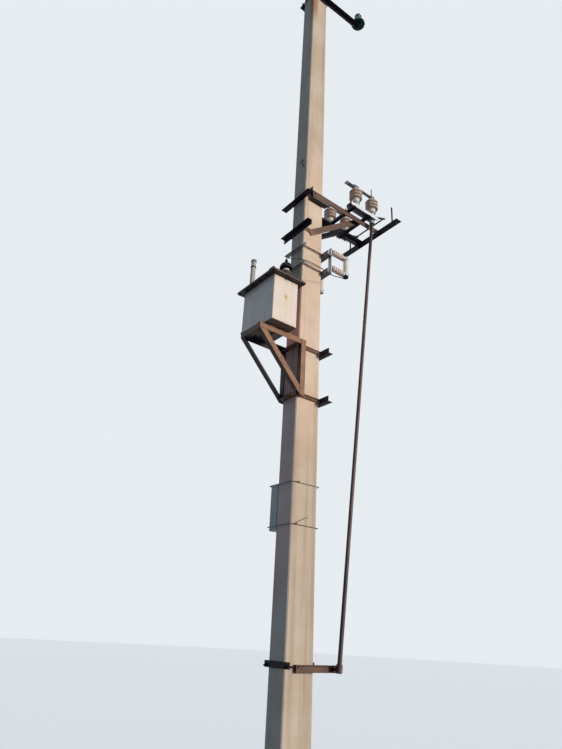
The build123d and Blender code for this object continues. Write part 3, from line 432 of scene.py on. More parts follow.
def oxidised_wire():
    f = Finish("oxidised_lead_wire", Specular_IOR_Level=0.12)
    cloud = f.noise(60.0, 4, 0.6)
    values = {"Vector": f.place, "Scale": 260.0, "Distortion": 0.4}
    strands = f.add("ShaderNodeTexWave", {"bands_direction": "DIAGONAL"}, values)["Fac"]
    f.ground(cloud, (0.016, 0.014, 0.015), (0.048, 0.038, 0.034))
    f.relief(strands, 0.5, 0.0008)
    return f.show(Roughness=0.5 + cloud * 0.25)


def band_wire():
    """Brown iron wire, painted over with the box where it lies on it."""
    f = Finish("band_wire", Specular_IOR_Level=0.3)
    cloud = f.noise(70.0, 5, 0.6)
    rust = f.noise(30.0, 5, 0.6).over(0.5, 0.65)
    f.ground(cloud.over(0.3, 0.7), (0.060, 0.045, 0.040), (0.105, 0.075, 0.060))
    f.lay(rust * 0.6, (0.17, 0.085, 0.045))
    painted = f.axes()[1].over(*PAINTED_BANDS) * cloud.over(0.25, 0.4)
    f.lay(painted, (0.235, 0.300, 0.312))
    f.relief(cloud, 0.4, 0.0006)
    return f.show(Roughness=0.6 + cloud * 0.25)


def pipe_paint():
    """Old grey paint of the filler pipe, worn to beige."""
    f = Finish("filler_pipe_grey_paint", Specular_IOR_Level=0.35)
    cloud = f.noise(18.0, 5, 0.6)
    runs = f.noise(60.0, 4, 0.6, (1, 1, 0.08))
    chips = f.noise(120.0, 5, 0.6)
    f.ground(cloud.over(0.3, 0.7), (0.42, 0.385, 0.35), (0.55, 0.50, 0.45))
    f.lay(runs.over(0.5, 0.72) * 0.4, (0.27, 0.22, 0.18))
    worn = (f.edges(0.003) * chips.over(0.4, 0.6)).clamp()
    f.lay(worn, (0.20, 0.12, 0.08))
    f.relief(cloud * 0.5 + chips * 0.3, 0.25, 0.001)
    return f.show(Roughness=0.45 + runs * 0.25)


def black_rubber():
    f = Finish("black_rubber")
    cloud = f.noise(120.0, 4, 0.6)
    f.relief(cloud, 0.3, 0.0006)
    f.ground(cloud, (0.018, 0.018, 0.018), (0.05, 0.048, 0.045))
    return f.show(Roughness=0.7 + cloud * 0.2)


# Each painted steel gives coat, its shade, rust and dust, then share of rust and gloss
finishes = {
    "concrete": cast_concrete(),
    "primed_steel": steel_primer(
        "red_brown_primer", (0.335, 0.165, 0.086), (0.24, 0.111, 0.057),
        (0.32, 0.14, 0.05), (0.40, 0.30, 0.22), 0.03,
    ),
    "dark_steel": steel_primer(
        "dark_weathered_steel", (0.019, 0.015, 0.016), (0.011, 0.009, 0.010),
        (0.075, 0.034, 0.020), (0.060, 0.050, 0.046), 0.0, 0.12,
    ),
    "lid_paint": steel_primer(
        "lid_dark_brown_paint", (0.115, 0.070, 0.052), (0.075, 0.047, 0.037),
        (0.240, 0.115, 0.055), (0.28, 0.23, 0.19), 0.04,
    ),
    "shaft_paint": steel_primer(
        "shaft_grey_brown_paint", (0.190, 0.115, 0.100), (0.120, 0.070, 0.062),
        (0.240, 0.105, 0.060), (0.28, 0.22, 0.19), 0.02,
    ),
    "bar_paint": steel_primer(
        "clamp_bar_dark_red_paint", (0.062, 0.024, 0.020), (0.034, 0.014, 0.013),
        (0.130, 0.050, 0.026), (0.12, 0.085, 0.070), 0.01, 0.12,
    ),
    "galvanised_steel": zinc_coat("dull_zinc", (0.46, 0.48, 0.49), (0.60, 0.585, 0.56)),
    # A lighter zinc whose tone is a painted sky reflection and sun highlight.
    "zinc_with_painted_sheen": zinc_coat("zinc_with_painted_sheen", (0.66, 0.67, 0.69), (0.74, 0.72, 0.70), 0.0),
    "fuse_post_glaze": glazed("peach_porcelain", (0.78, 0.61, 0.51), (0.64, 0.47, 0.38), (0.70, 0.58, 0.49)),
    "contact_metal": tarnished_metal(),
    "porcelain": glazed("tan_porcelain", (0.66, 0.49, 0.385), (0.51, 0.365, 0.275), (0.76, 0.64, 0.54)),
    "green_glass": bottle_glass(),
    "white_ceramic": glazed("white_porcelain", (0.80, 0.73, 0.65), (0.70, 0.60, 0.51), (0.61, 0.52, 0.43)),
    "tank_paint": tank_cream(),
    "bushing_glaze": bushing_glaze(),
    "box_paint": box_enamel(),
    "lead_wire": oxidised_wire(),
    "rubber": black_rubber(),
    "pipe_paint": pipe_paint(),
    "band_wire": band_wire(),
}
SPECIAL_COAT = {
    # The fuse and phase bases take the zinc with painted sky reflection and highlight.
    "fuse_bases": "zinc_with_painted_sheen",
    "phase_bases": "zinc_with_painted_sheen",
    "operating_shaft": "shaft_paint",
    "box_bands": "band_wire",
    "bracket_studs": "primed_steel",
    "fuse_clamp_studs": "shaft_paint",
    "shaft_bearing": "primed_steel",
    "drive_bars": "bar_paint",
}
for entry in frame["record"]["subparts"]:
    mesh = nodes[entry["node"]].data
    mesh.materials.clear()
    mesh.materials.append(finishes[SPECIAL_COAT.get(entry["node"], entry["material_slot"])])


# Shapes
UP, DOWN = (0, 0, 1), (0, 0, -1)
SMOOTH_BELOW = radians(32)
BEVEL_ABOVE = radians(40)
ON_AXIS = 1e-6
CHAMFER = 1.0
WASHER = 2.5
STUD_NUT = 10.0
WELD_SIDES = 8


def placed(origin, direction=UP):
    """Frame at an origin in millimetres, its Z along a direction."""
    turned = Vector(direction).to_track_quat("Z", "X").to_matrix().to_4x4()
    return Matrix.Translation(Vector(origin) * MM) @ turned


def raised(frame_at, height):
    """The same frame, moved along its Z."""
    return frame_at @ Matrix.Translation((0, 0, height * MM))


def around(count, turn=0.0):
    """Cosine and sine of equal steps round a circle."""
    return [(cos(turn + 2 * pi * k / count), sin(turn + 2 * pi * k / count)) for k in range(count)]


def rounded(points, radius, steps=4):
    """A profile with each inner corner rounded, in millimetres."""
    out = [points[0]]
    for before, corner, after in zip(points, points[1:], points[2:]):
        a, b, c = Vector(before), Vector(corner), Vector(after)
        cut = min(radius, 0.45 * (a - b).length, 0.45 * (c - b).length)
        start = b + (a - b).normalized() * cut
        end = b + (c - b).normalized() * cut
        for k in range(steps + 1):
            t = k / steps
            out.append(tuple((1 - t) ** 2 * start + 2 * t * (1 - t) * b + t * t * end))
    out.append(points[-1])
    return out


def rectangle(x0, y0, x1, y1):
    return [(x0, y0), (x1, y0), (x1, y1), (x0, y1)]


def disc(radius, height):
    """Profile of a flat disc with broken edges."""
    return [(0, 0), (radius - 1, 0), (radius, 1), (radius, height - 1), (radius - 1, height), (0, height)]


class Shape:
    """A mesh under construction. Sizes are in millimetres."""

    def __init__(self):
        self.mesh = bmesh.new()

    def ring(self, spots, frame_at):
        return [self.mesh.verts.new(frame_at @ (Vector(spot) * MM)) for spot in spots]

    def turned(self, radius, height, count, frame_at, turn=0.0):
        """A ring about the frame's Z."""
        return self.ring([(radius * c, radius * s, height) for c, s in around(count, turn)], frame_at)

    def circle(self, spot, across, side, radius, count):
        """A ring about a spot, in the plane of two directions."""
        corners = [spot + (across * c + side * s) * radius for c, s in around(count)]
        return self.ring(corners, Matrix())

    def skin(self, rings):
        """Faces round a row of rings, both ends closed."""
        self.mesh.faces.new(list(reversed(rings[0])))
        self.mesh.faces.new(rings[-1])
        for low, high in zip(rings, rings[1:]):
            for k in range(len(low)):
                n = (k + 1) % len(low)
                self.mesh.faces.new((low[k], low[n], high[n], high[k]))
        return self

    def lathe(self, profile, frame_at, segments=48):
        """Turn a profile of (radius, height) about the frame's Z."""
        rings = [self.turned(r, z, segments if r > ON_AXIS else 1, frame_at) for r, z in profile]
        for low, high in zip(rings, rings[1:]):
            if len(low) == 1 and len(high) == 1:
                continue
            for k in range(segments):
                n = (k + 1) % segments
                if len(low) == 1:
                    self.mesh.faces.new((low[0], high[k], high[n]))
                elif len(high) == 1:
                    self.mesh.faces.new((low[k], low[n], high[0]))
                else:
                    self.mesh.faces.new((low[k], low[n], high[n], high[k]))
        return self

    def rod(self, radius, length, frame_at, segments):
        return self.lathe([(0, 0), (radius, 0), (radius, length), (0, length)], frame_at, segments)

    def prism(self, outline, height, frame_at):
        """Stand an outline of (x, y) up by a height."""
        return self.skin([self.ring([(x, y, z) for x, y in outline], frame_at) for z in (0, height)])

    def block(self, low, high):
        """A box between two corners."""
        (x0, y0, z0), (x1, y1, z1) = low, high
        return self.prism(rectangle(x0, y0, x1, y1), z1 - z0, raised(Matrix(), z0))

    def hexagon(self, across, height, frame_at, turn=0.0):
        """A chamfered hexagonal nut or bolt head."""
        corner = across / 3**0.5
        rise, cut = CHAMFER * 0.6, corner - CHAMFER
        side = ((cut, 0), (corner, rise), (corner, height - rise), (cut, height))
        return self.skin([self.turned(radius, z, 6, frame_at, turn) for radius, z in side])

    def washer(self, radius, thickness, frame_at):
        rim = min(0.6, thickness / 3)
        profile = [(0, 0), (radius - rim, 0), (radius, rim), (radius, thickness - rim)]
        return self.lathe(profile + [(radius - rim, thickness), (0, thickness)], frame_at, 28)

    def thread(self, radius, length, frame_at, pitch=1.75):
        """A threaded end: fine ridges and a chamfered tip."""
        root = radius - 0.9
        profile = [(0, 0), (root, 0)]
        for k in range(int(length / pitch)):
            profile += [(radius, (k + 0.3) * pitch), (root, (k + 0.95) * pitch)]
        profile += [(radius - 1.6, length), (0, length)]
        return self.lathe(profile, frame_at, 18)

    def tube(self, points, radius, sides=12):
        """A round rod along points, its ends closed."""
        spots = [Vector(p) for p in points]
        rings = []
        across = None
        for k, spot in enumerate(spots):
            way = (spots[min(k + 1, len(spots) - 1)] - spots[max(k - 1, 0)]).normalized()
            if across is None:
                across = way.orthogonal().normalized()
            across = (across - way * across.dot(way)).normalized()
            rings.append(self.circle(spot, across, way.cross(across), radius, sides))
        return self.skin(rings)

    def weld(self, start, end, size, seed=0):
        """A fillet of weld metal with its ripples, between two points."""
        a, b = Vector(start), Vector(end)
        steps = max(4, int((b - a).length / (size * 0.55)))
        way = (b - a).normalized()
        across = way.orthogonal().normalized()
        side = way.cross(across)
        rings = []
        for k in range(steps + 1):
            swell = size * (0.50 + 0.10 * (k % 2) + 0.07 * sin(seed + 2.4 * k))
            if k in (0, steps):
                swell *= 0.5
            spot = a + (b - a) * (k / steps)
            rings.append(self.circle(spot, across, side, swell, WELD_SIDES))
        return self.skin(rings)

    def bolt(self, spot, direction=UP, across=17, head=8, washer_r=12):
        """A washer and a hexagon on a face, its axis along a direction."""
        at = placed(spot, direction)
        return self.washer(washer_r, WASHER, at).hexagon(across, head, raised(at, WASHER))

    def screws(self, radius, across, head, centre, direction=UP, turn=pi / 4):
        """Four hexagons on a circle about a centre."""
        x, y, z = centre
        for c, s in around(4, turn):
            self.hexagon(across, head, placed((x + radius * c, y + radius * s, z), direction))
        return self

    def nut_end(self, face, tip, direction, washer_r=13):
        """An M12 stud's end: washer and nut on the face, threaded tip beyond."""
        at = placed(face, direction)
        hidden = WASHER + STUD_NUT
        self.washer(washer_r, WASHER, at)
        self.hexagon(18, STUD_NUT, raised(at, WASHER), turn=pi / 6)
        return self.thread(6.15, (Vector(tip) - Vector(face)).length - hidden, raised(at, hidden))

    def nuts_along_x(self, y, z, seats, tips, washer_r=13):
        """Nuts on both ends of a stud along X, the -X end first."""
        for side, seat, tip in zip((-1, 1), seats, tips):
            self.nut_end((side * seat, y, z), (side * tip, y, z), (side, 0, 0), washer_r)
        return self

    def piece(self, name, finish, body=ROOT, bevel=0.0, stands_for=()):
        """Close the mesh off as a named piece that rides on a body."""
        bmesh.ops.recalc_face_normals(self.mesh, faces=self.mesh.faces)
        for face in self.mesh.faces:
            face.smooth = True
        for edge in self.mesh.edges:
            edge.smooth = edge.calc_face_angle(0.0) < SMOOTH_BELOW
        data = bpy.data.meshes.new(name)
        self.mesh.to_mesh(data)
        self.mesh.free()
        item = bpy.data.objects.new(name, data)
        bpy.context.scene.collection.objects.link(item)
        data.materials.append(finishes[finish])
        if bevel:
            soft = item.modifiers.new("softened_edges", "BEVEL")
            soft.width = bevel * MM
            soft.segments = 2
            soft.limit_method = "ANGLE"
            soft.angle_limit = BEVEL_ABOVE
        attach(item, body)
        if stands_for:
            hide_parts(*stands_for)
        return item


# Sizes shared with the frame, in millimetres
HALF_WIDTH = 92.5
STUD_Y = 107.5
FRAME_TOP = 5635.0
FRAME_SIDE = 148.5
BASE_Z = 5655.0
BASE_TOP = 5697.0
POST_Z = 5751.0
POST_TOP = 5951.0
PHASE_Y = 200.0
FIXED_X = 482.0
TURNING_X = 722.0
LID_TOP, LID_EDGE, LID_LOW, TANK_LOW = 4405.0, 4397.0, 4379.0, 3938.0
TANK_X, TANK_Y = (-520, -262), 226
LID_X, LID_Y = (-567, -215), 271
BUSHING = (-332.0, 130.0)
PIPE = (-508.0, 135.0)
FUSE_Y = (-150.0, 212.0)
FUSE_LEVELS = (5000.0, 4812.0)
FUSE_BAR_LEVELS = (4950, 4745)
BRACKET_LEVELS = (3878, 3422)
FRAME_STUD_Y, FRAME_STUD_Z = 125, 5585
ARM_STUD_Z = 8817
DRIVE_STUD_Z = 1401
SHAFT_FOOT, SHAFT_HEAD = Vector((316, -158.5, 1391)), Vector((722, -200, 5620))
BOX_LOW = 2330
PHASE = {-1: "near", 1: "far"}
COLUMNS = {-1: "near_column", 1: "far_column"}


def half_depth(z):
    """Distance from the pole's axis to its +X or -X face."""
    return 135.0 - 62.0 / 2 / 9050 * z


# Insulators


def post_insulator(name, x, y, body, node):
    """Three rounded sheds on a core between a white foot and a white head."""
    at = placed((x, y, POST_Z))
    core = [(0, 8), (32, 8), (32, 34), (38, 40)]
    for z in (42, 83, 124):
        core += [(40, z + 2), (46, z + 4), (64, z + 7), (69, z + 13), (68, z + 21)]
        core += [(58, z + 29), (42, z + 35)]
    core += [(40, 165), (36, 168), (24, 170), (24, 192), (0, 192)]
    Shape().lathe(rounded(core, 3.2), at, 64).piece(name, "porcelain", body, stands_for=(node,))
    foot = [(0, 0), (34, 0), (36, 2), (36.5, 12), (35.5, 14), (39, 30), (40, 38), (36, 42), (0, 42)]
    head = [(0, 160), (38, 160), (43, 164), (43, 169), (36, 180), (28, 190), (25, 198), (24, 200), (0, 200)]
    ends = Shape().lathe(rounded(foot, 1.6), at).lathe(rounded(head, 1.6), at)
    ends.piece(name + "_caps", "white_ceramic", body)


for side, phase in PHASE.items():
    node = phase + "_turning_insulator"
    post_insulator(node + "_glaze", TURNING_X, side * PHASE_Y, COLUMNS[side], node)
    post_insulator(phase + "_fixed_insulator_glaze", FIXED_X, side * PHASE_Y, ROOT, "fixed_insulators")

# Bolted flanges where the posts stand on their feet
flanges = Shape()
for side in PHASE:
    y = side * PHASE_Y
    flanges.lathe(disc(41, 8), placed((FIXED_X, y, POST_Z - 8)), 40)
    flanges.lathe(disc(41, 8), placed((FIXED_X, y, BASE_TOP)), 40)
    flanges.screws(33, 9, 5, (FIXED_X, y, BASE_TOP + 8))
flanges.piece("fixed_foot_flanges", "galvanised_steel")

for side, phase in PHASE.items():
    y, z = side * PHASE_Y, POST_Z - 7
    flange = Shape().lathe(disc(41, 7), placed((TURNING_X, y, z)), 40)
    flange.screws(34, 9, 5, (TURNING_X, y, z), DOWN)
    flange.piece(phase + "_turning_flange", "galvanised_steel", COLUMNS[side])

# Green glass bells on the crossarm and the pole top
YAW = radians(-2.0)
ARM_WAY = Vector((cos(YAW), sin(YAW), 0))
ARM_OUT = Vector((sin(YAW), -cos(YAW), 0))
ARM_TOP = 8845.0
ARM_CORNER_X = -half_depth(ARM_STUD_Z) + 8
ARM_MIDDLE = Vector((ARM_CORNER_X, -HALF_WIDTH, ARM_TOP)) - ARM_WAY * (ARM_CORNER_X / ARM_WAY.x)
BELL_LOW = 118
bell_feet = []
for side in (-1, 1):
    foot = ARM_MIDDLE + ARM_WAY * (side * 610) + ARM_OUT * 28
    bell_feet.append((foot.x, foot.y, ARM_TOP + 138.5 - BELL_LOW))
bell_feet.append((0, 0, 9058 + 170.5 - BELL_LOW))
bell = [
    (11.6, 118), (11.6, 66), (24, 50), (44, 30), (55, 6), (60, 6), (66, 26), (78, 3), (84, 0), (87, 4),
    (86, 14), (76, 34), (62, 52), (50, 68), (43, 80), (42, 104), (36, 112), (35, 122), (37, 133), (45, 140),
    (47, 150), (44, 162), (40, 166), (34, 164), (33, 170), (28, 177), (0, 178),
]
glass = Shape()
for foot in bell_feet:
    glass.lathe(rounded(bell, 3.0), placed(foot), 72)
glass.piece("line_insulator_glass", "green_glass", stands_for=("line_insulators",))

# Fuses
FUSE_POST_X = half_depth(4722.5) + 55 + 6
POST_LENGTH = 180.0
TUBE_X = FUSE_POST_X + POST_LENGTH + 26
TUBE_LOW, TUBE_HIGH = FUSE_LEVELS[1] - 26, FUSE_LEVELS[0] + 26
RIBS = 5
rib = [(0, 20), (21, 20), (22, 24)]
for k in range(RIBS):
    z = 22 + k * (POST_LENGTH - 44) / RIBS
    rib += [(21.5, z + 3), (24, z + 8), (30, z + 12), (31, z + 15.5), (29.5, z + 19), (23, z + 25)]
rib += [(22, POST_LENGTH - 22), (21, POST_LENGTH - 19), (0, POST_LENGTH - 19)]
cup = [(0, 0), (23, 0), (25, 2), (25, 19), (23, 22), (0, 22)]
end = [(0, -22), (23, -22), (25, -19), (25, -3), (22, 0), (0, 0)]
barrel = [(0, 36), (25, 36), (25.6, 39), (25.6, 218), (25, 221), (0, 221)]
cap = [(0, 0), (23, 0), (26, 2.5), (26.4, 8), (25.6, 11), (26.4, 14), (26.4, 36), (25, 40), (0, 40)]
crown = [(0, 0), (22, 0), (25.6, 2), (26.4, 5), (26.4, 20), (25, 23), (0, 23)]
ribs, ferrules, tubes, caps, rods = Shape(), Shape(), Shape(), Shape(), Shape()
for y in FUSE_Y:
    for level in FUSE_LEVELS:
        at = placed((FUSE_POST_X, y, level), (1, 0, 0))
        ribs.lathe(rounded(rib, 2.0), at)
        ferrules.lathe(rounded(cup, 1.2), at, 36)
        ferrules.lathe(rounded(end, 1.2), raised(at, POST_LENGTH), 36)
        for side in (-1, 1):
            clip = [(-30, -12), (14, -12), (18, -8), (18, 8), (14, 12), (-30, 12)]
            stand = Matrix.Translation((TUBE_X * MM, (y + side * 27 + 1) * MM, level * MM))
            ferrules.prism(clip, 2, stand @ Matrix.Rotation(pi / 2, 4, "X"))
    tubes.lathe(barrel, placed((TUBE_X, y, TUBE_LOW)), 40)
    lower = caps if y < 0 else tubes
    lower.lathe(rounded(cap, 1.0), placed((TUBE_X, y, TUBE_LOW)), 36)
    ferrules.lathe(rounded(crown, 1.0), placed((TUBE_X, y, TUBE_HIGH), DOWN), 36)
    rods.tube([(TUBE_X - 32, y, TUBE_LOW + 50), (TUBE_X - 32, y, TUBE_HIGH - 50)], 4.5)
rods.piece("fuse_inner_rods", "white_ceramic")
ribs.piece("fuse_ribbed_insulators", "fuse_post_glaze", stands_for=("fuse_posts",))
tubes.piece("fuse_tube_barrels", "white_ceramic", stands_for=("fuse_tubes",))
ferrules.piece("fuse_ferrules_and_clips", "galvanised_steel", bevel=0.4)
caps.piece("fuse_lower_cap", "dark_steel")

# High-voltage bushings
bushing_profile = [
    (0, 0), (44, 0), (46, 2), (46, 14), (43, 16), (35, 17), (34, 22), (34, 80), (38, 90), (49, 102),
    (50, 110), (46, 120), (33, 133), (30, 140), (30, 176), (32, 178), (51, 156), (54, 152), (58, 153),
    (58, 164), (55, 180), (46, 198), (34, 210), (24, 216), (15, 218), (0, 219),
]
stem = [(0, 217), (15, 217), (15, 229), (14, 230), (8.4, 230), (8.4, 236), (7.6, 237)]
for k in range(8):
    stem += [(8.2, 238 + 2 * k), (7.5, 239 + 2 * k)]
stem += [(8, 254), (7, 256), (0, 256)]
porcelain, metal = Shape(), Shape()
for side in (-1, 1):
    x, y = BUSHING[0], side * BUSHING[1]
    at = placed((x, y, LID_TOP))
    porcelain.lathe(rounded(bushing_profile, 4.0), at, 64)
    metal.lathe(stem, at, 28)
    metal.hexagon(24, 9, raised(at, 231))
    metal.hexagon(24, 7, raised(at, 245))
    metal.washer(15, 3, raised(at, 241))
    for angle in (pi / 2, pi * 7 / 6, pi * 11 / 6):
        spot = (x + 54 * cos(angle), y + 54 * sin(angle), LID_TOP)
        clamp_at = placed(spot) @ Matrix.Rotation(angle, 4, "Z")
        metal.prism(rectangle(-18, -8, 8, 8), 6, raised(clamp_at, 12))
        metal.lathe([(0, 0), (5, 0), (5, 26), (4, 27), (0, 27)], clamp_at, 16)
        metal.hexagon(13, 6, raised(clamp_at, 18))
porcelain.piece("bushing_porcelain", "bushing_glaze", stands_for=("bushings",))
metal.piece("bushing_terminals", "dark_steel", bevel=0.3)

# Gasket and bolts of the transformer's lid
gasket = Shape()
gasket.block((TANK_X[0] - 2, -TANK_Y - 2, LID_LOW - 4), (TANK_X[1] + 2, TANK_Y + 2, LID_LOW))
gasket.piece("lid_gasket", "rubber")
trim = Shape()
for x in (-549, -391, -233):
    for y in (-256, -154, -52, 52, 154, 256):
        if x == -391 and abs(y) < 250:
            continue
        trim.bolt((x, y, LID_EDGE), UP, 17, 9, 13)
        trim.hexagon(17, 9, placed((x, y, LID_LOW), DOWN), turn=pi / 6)
trim.piece("lid_bolts", "dark_steel")

# Rolled edge round the lid, lifting lugs on its corners and welded seams of the tank
lip = Shape()
corners = rectangle(LID_X[0], -LID_Y, LID_X[1], LID_Y)
for start, end in zip(corners, corners[1:] + corners[:1]):
    for z, radius in ((LID_LOW + 3, 3.4), (LID_EDGE - 2, 2.6)):
        lip.tube([(*start, z), (*end, z)], radius)
lug = [(-34, 0), (38, 0), (37, 11), (33, 16), (-24, 16), (-32, 11)]
ALONG_Y = Matrix(((0, 0, 1, 0), (1, 0, 0, 0), (0, 1, 0, 0), (0, 0, 0, 1)))
for x, y in ((-564, -236), (-226, 236)):
    lip.prism(lug, 8, Matrix.Translation((x * MM, y * MM, LID_EDGE * MM)) @ ALONG_Y)
lip.piece("lid_rolled_edge_and_lugs", "lid_paint")
seams = Shape()
for y in (-TANK_Y, TANK_Y):
    seams.weld((-512, y, TANK_LOW + 3), (-270, y, TANK_LOW + 3), 6, y)
for x in TANK_X:
    seams.weld((x, -218, TANK_LOW + 3), (x, 218, TANK_LOW + 3), 6, x)
for x, seed in zip(TANK_X, (2, 5)):
    seams.weld((x, 60, TANK_LOW + 6), (x, 60, LID_LOW - 6), 3, seed)
seams.piece("tank_weld_seams", "tank_paint")
seams = Shape()
for x in (-445, -337):
    for y in (-140, 140):
        seams.weld((x - 24, y, TANK_LOW - 2), (x + 24, y, TANK_LOW - 2), 5, x)
seams.piece("tank_skid_welds", "dark_steel")
fittings = Shape()
drain = placed((-488, TANK_Y, 3998), (0, 1, 0))
fittings.lathe([(0, 0), (20, 0), (20, 6), (13, 7), (13, 26), (0, 26)], drain, 32)
fittings.hexagon(30, 14, raised(drain, 24))
earth = placed((-300, TANK_Y, 3972), (0, 1, 0))
fittings.lathe([(0, 0), (15, 0), (15, 5), (6, 5), (6, 22), (0, 22)], earth, 24)
fittings.hexagon(17, 8, raised(earth, 6))
fittings.piece("tank_fittings", "tank_paint", bevel=0.7)

# Breather cap on the filler pipe and its flange bolts
at = placed((*PIPE, LID_TOP))
pipe = [(0, 0), (26, 0), (26, 9), (24, 10), (22, 11), (22, 286), (0, 286)]
pipe = Shape().lathe(rounded(pipe, 1.5), at).lathe(disc(42, 6), at, 40)
pipe.piece("filler_pipe_barrel", "pipe_paint", stands_for=("filler_pipe",))
rings = Shape()
rings.lathe(rounded([(21, 222), (25, 222), (26, 224), (26, 232), (25, 234), (21, 234)], 1.0), at)
rings.lathe(rounded([(0, 284), (25, 284), (25.5, 286), (25.5, 289), (22, 290), (0, 290)], 1.0), at)
rings.screws(34, 10, 5, (*PIPE, LID_TOP + 6), turn=0.0)
rings.piece("filler_pipe_rings_and_bolts", "dark_steel")
dome = [(0, 289), (25, 289), (26, 291), (26, 303), (23, 309), (14, 312), (0, 312)]
Shape().lathe(rounded(dome, 2.0), at).piece("filler_pipe_cap", "galvanised_steel")

# Small low-voltage terminals on the lid's +X side
terminals, posts = Shape(), Shape()
post = [(0, 0), (20, 0), (20, 12), (14, 20), (14, 30), (20, 34), (20, 40), (12, 52), (0, 52)]
for y in (-60, 0, 60):
    at = placed((-262, y, LID_TOP - 8))
    posts.lathe(rounded(post, 2), at, 36)
    terminals.thread(6, 26, raised(at, 52))
    terminals.hexagon(18, 8, raised(at, 53))
    terminals.washer(12, WASHER, raised(at, 61))
    terminals.hexagon(18, 8, raised(at, 63.5))
posts.piece("low_voltage_terminal_porcelain", "white_ceramic")
terminals.piece("low_voltage_terminal_studs", "contact_metal")

# Nuts on the clamp studs
FRAME_SEAT = half_depth(5540)
POST_OUTER = half_depth(3405) + 5
nuts = Shape()
for y in (-FRAME_STUD_Y, FRAME_STUD_Y):
    nuts.nuts_along_x(y, FRAME_STUD_Z, (FRAME_SEAT + 5, FRAME_SEAT + 8), (FRAME_SEAT + 30,) * 2)
nuts.piece("frame_clamp_nuts", "dark_steel")
nuts = Shape()
for level in FUSE_BAR_LEVELS:
    seat = half_depth(level - 22.5)
    for y in (-STUD_Y, STUD_Y):
        nuts.nuts_along_x(y, level, (seat + 5,) * 2, (seat + 27,) * 2)
nuts.piece("fuse_clamp_nuts", "dark_steel")
nuts = Shape()
for level in BRACKET_LEVELS:
    face = half_depth(level - 27) + 5
    for z in (level - 11.5, level + 11.5):
        for y in (-STUD_Y, STUD_Y):
            nuts.nuts_along_x(y, z, (POST_OUTER, face), (POST_OUTER + 22,) * 2, 11)
nuts.piece("bracket_nuts", "dark_steel")
drive_face = half_depth(1387) + 8
drive_tip = drive_face + 22
nuts = Shape()
nuts.nuts_along_x(-STUD_Y, DRIVE_STUD_Z, (drive_face, -44), (drive_tip, -22))
nuts.nuts_along_x(STUD_Y, DRIVE_STUD_Z, (drive_face,) * 2, (drive_tip,) * 2)
nuts.piece("drive_nuts", "dark_steel")
nuts = Shape()
for side in (-1, 1):
    x = side * (half_depth(ARM_STUD_Z) + 15)
    out = HALF_WIDTH + (x - ARM_CORNER_X) * tan(-YAW) + 5.4
    nuts.nut_end((x, -out, ARM_STUD_Z), (x, -136.5, ARM_STUD_Z), (0, -1, 0))
    nuts.nut_end((x, 97.5, ARM_STUD_Z), (x, 119.5, ARM_STUD_Z), (0, 1, 0))
nuts.piece("crossarm_nuts", "dark_steel")

# Bolts of the disconnector frame
bolts = Shape()
tip = [(0, 0), (8.2, 0)]
for k in range(16):
    tip += [(8.3, 1 + 2.5 * k), (7.2, 2.2 + 2.5 * k)]
tip += [(8, 42), (6, 44), (0, 44)]
for side in (-1, 1):
    for x in (425, 640):
        bolts.bolt((x, side * 126, BASE_Z))
        bolts.hexagon(17, 8, placed((x, side * 126, FRAME_TOP - 6), DOWN))
        bolts.bolt((x, side * PHASE_Y, BASE_TOP))
        bolts.rod(5, 40, placed((x, side * PHASE_Y, BASE_Z)), 16)
        bolts.hexagon(17, 8, placed((x, side * PHASE_Y, BASE_Z - 5), DOWN))
    bolts.bolt((-34, side * FRAME_SIDE, 5607), (0, side, 0), 13, 6, 9)
    pin_at = placed((909.5, side * 318, FRAME_TOP))
    bolts.hexagon(24, 12, placed((909.5, side * 318, FRAME_TOP - 6), DOWN))
    bolts.washer(18, 3, raised(pin_at, 16))
    bolts.hexagon(24, 12, raised(pin_at, 19))
    bolts.lathe(tip, raised(pin_at, 180), 20)
bolts.piece("frame_bolts", "dark_steel")
pins = Shape()
for x, y, _ in bell_feet[:2]:
    pins.hexagon(30, 14, placed((x, y, ARM_TOP - 5), DOWN))
    pins.thread(11.1, 22, placed((x, y, ARM_TOP - 19), DOWN), 2.5)
    pins.lathe(disc(20, 8), placed((x, y, ARM_TOP + 12)), 32)
pins.piece("insulator_pin_nuts", "dark_steel")

# Weld beads where cut steel meets steel
beads = Shape()
for side in (-1, 1):
    y = side * 141
    beads.weld((-POST_OUTER, y, 3876), (-POST_OUTER, y, 3924), 6, side)
    beads.weld((-POST_OUTER, y, 3408), (-POST_OUTER, y, 3478), 6, side)
    beads.weld((-571, side * 140.5, 3875), (-505, side * 140.5, 3875), 6, side)
    beads.weld((-571, side * 134, 3868), (-571, side * 134, 3918), 6, side)
    for z in (3405, 3875):
        beads.weld((-POST_OUTER, side * 90, z + 6), (-POST_OUTER, side * 90, z + 44), 6, z)
beads.piece("bracket_weld_beads", "primed_steel")
beads = Shape()
for side in (-1, 1):
    beads.weld((872, side * 142, 5575), (872, side * 142, 5628), 6, side)
    beads.weld((870, side * 96, 5629), (870, side * 141, 5629), 6, side)
    beads.weld((-58, side * FRAME_SIDE, 5572), (143, side * FRAME_SIDE, 5572), 4, side)
    for x in (552, 640):
        beads.weld((x - 20, side * 98, 5628), (x + 20, side * 98, 5628), 5, x)
    for x0, z0, x1, z1 in ((-63, 5162, -28, 5188), (-62, 5161, -46, 5140), (-117, 5141, -117, 5187)):
        beads.weld((x0, side * 98.5, z0), (x1, side * 98.5, z1), 6, side)
    x = FRAME_SEAT + 8
    beads.weld((x, side * 142, 5576), (x, side * 142, 5627), 6, side)
beads.piece("frame_weld_beads", "primed_steel")
beads = Shape()
beads.weld((-50, -98, 1369), (383, -98, 1369), 4, 1)
beads.weld((300, -122, 1400), (334, -122, 1400), 6, 2)
beads.weld((300, -98, 1381), (334, -98, 1381), 6, 3)
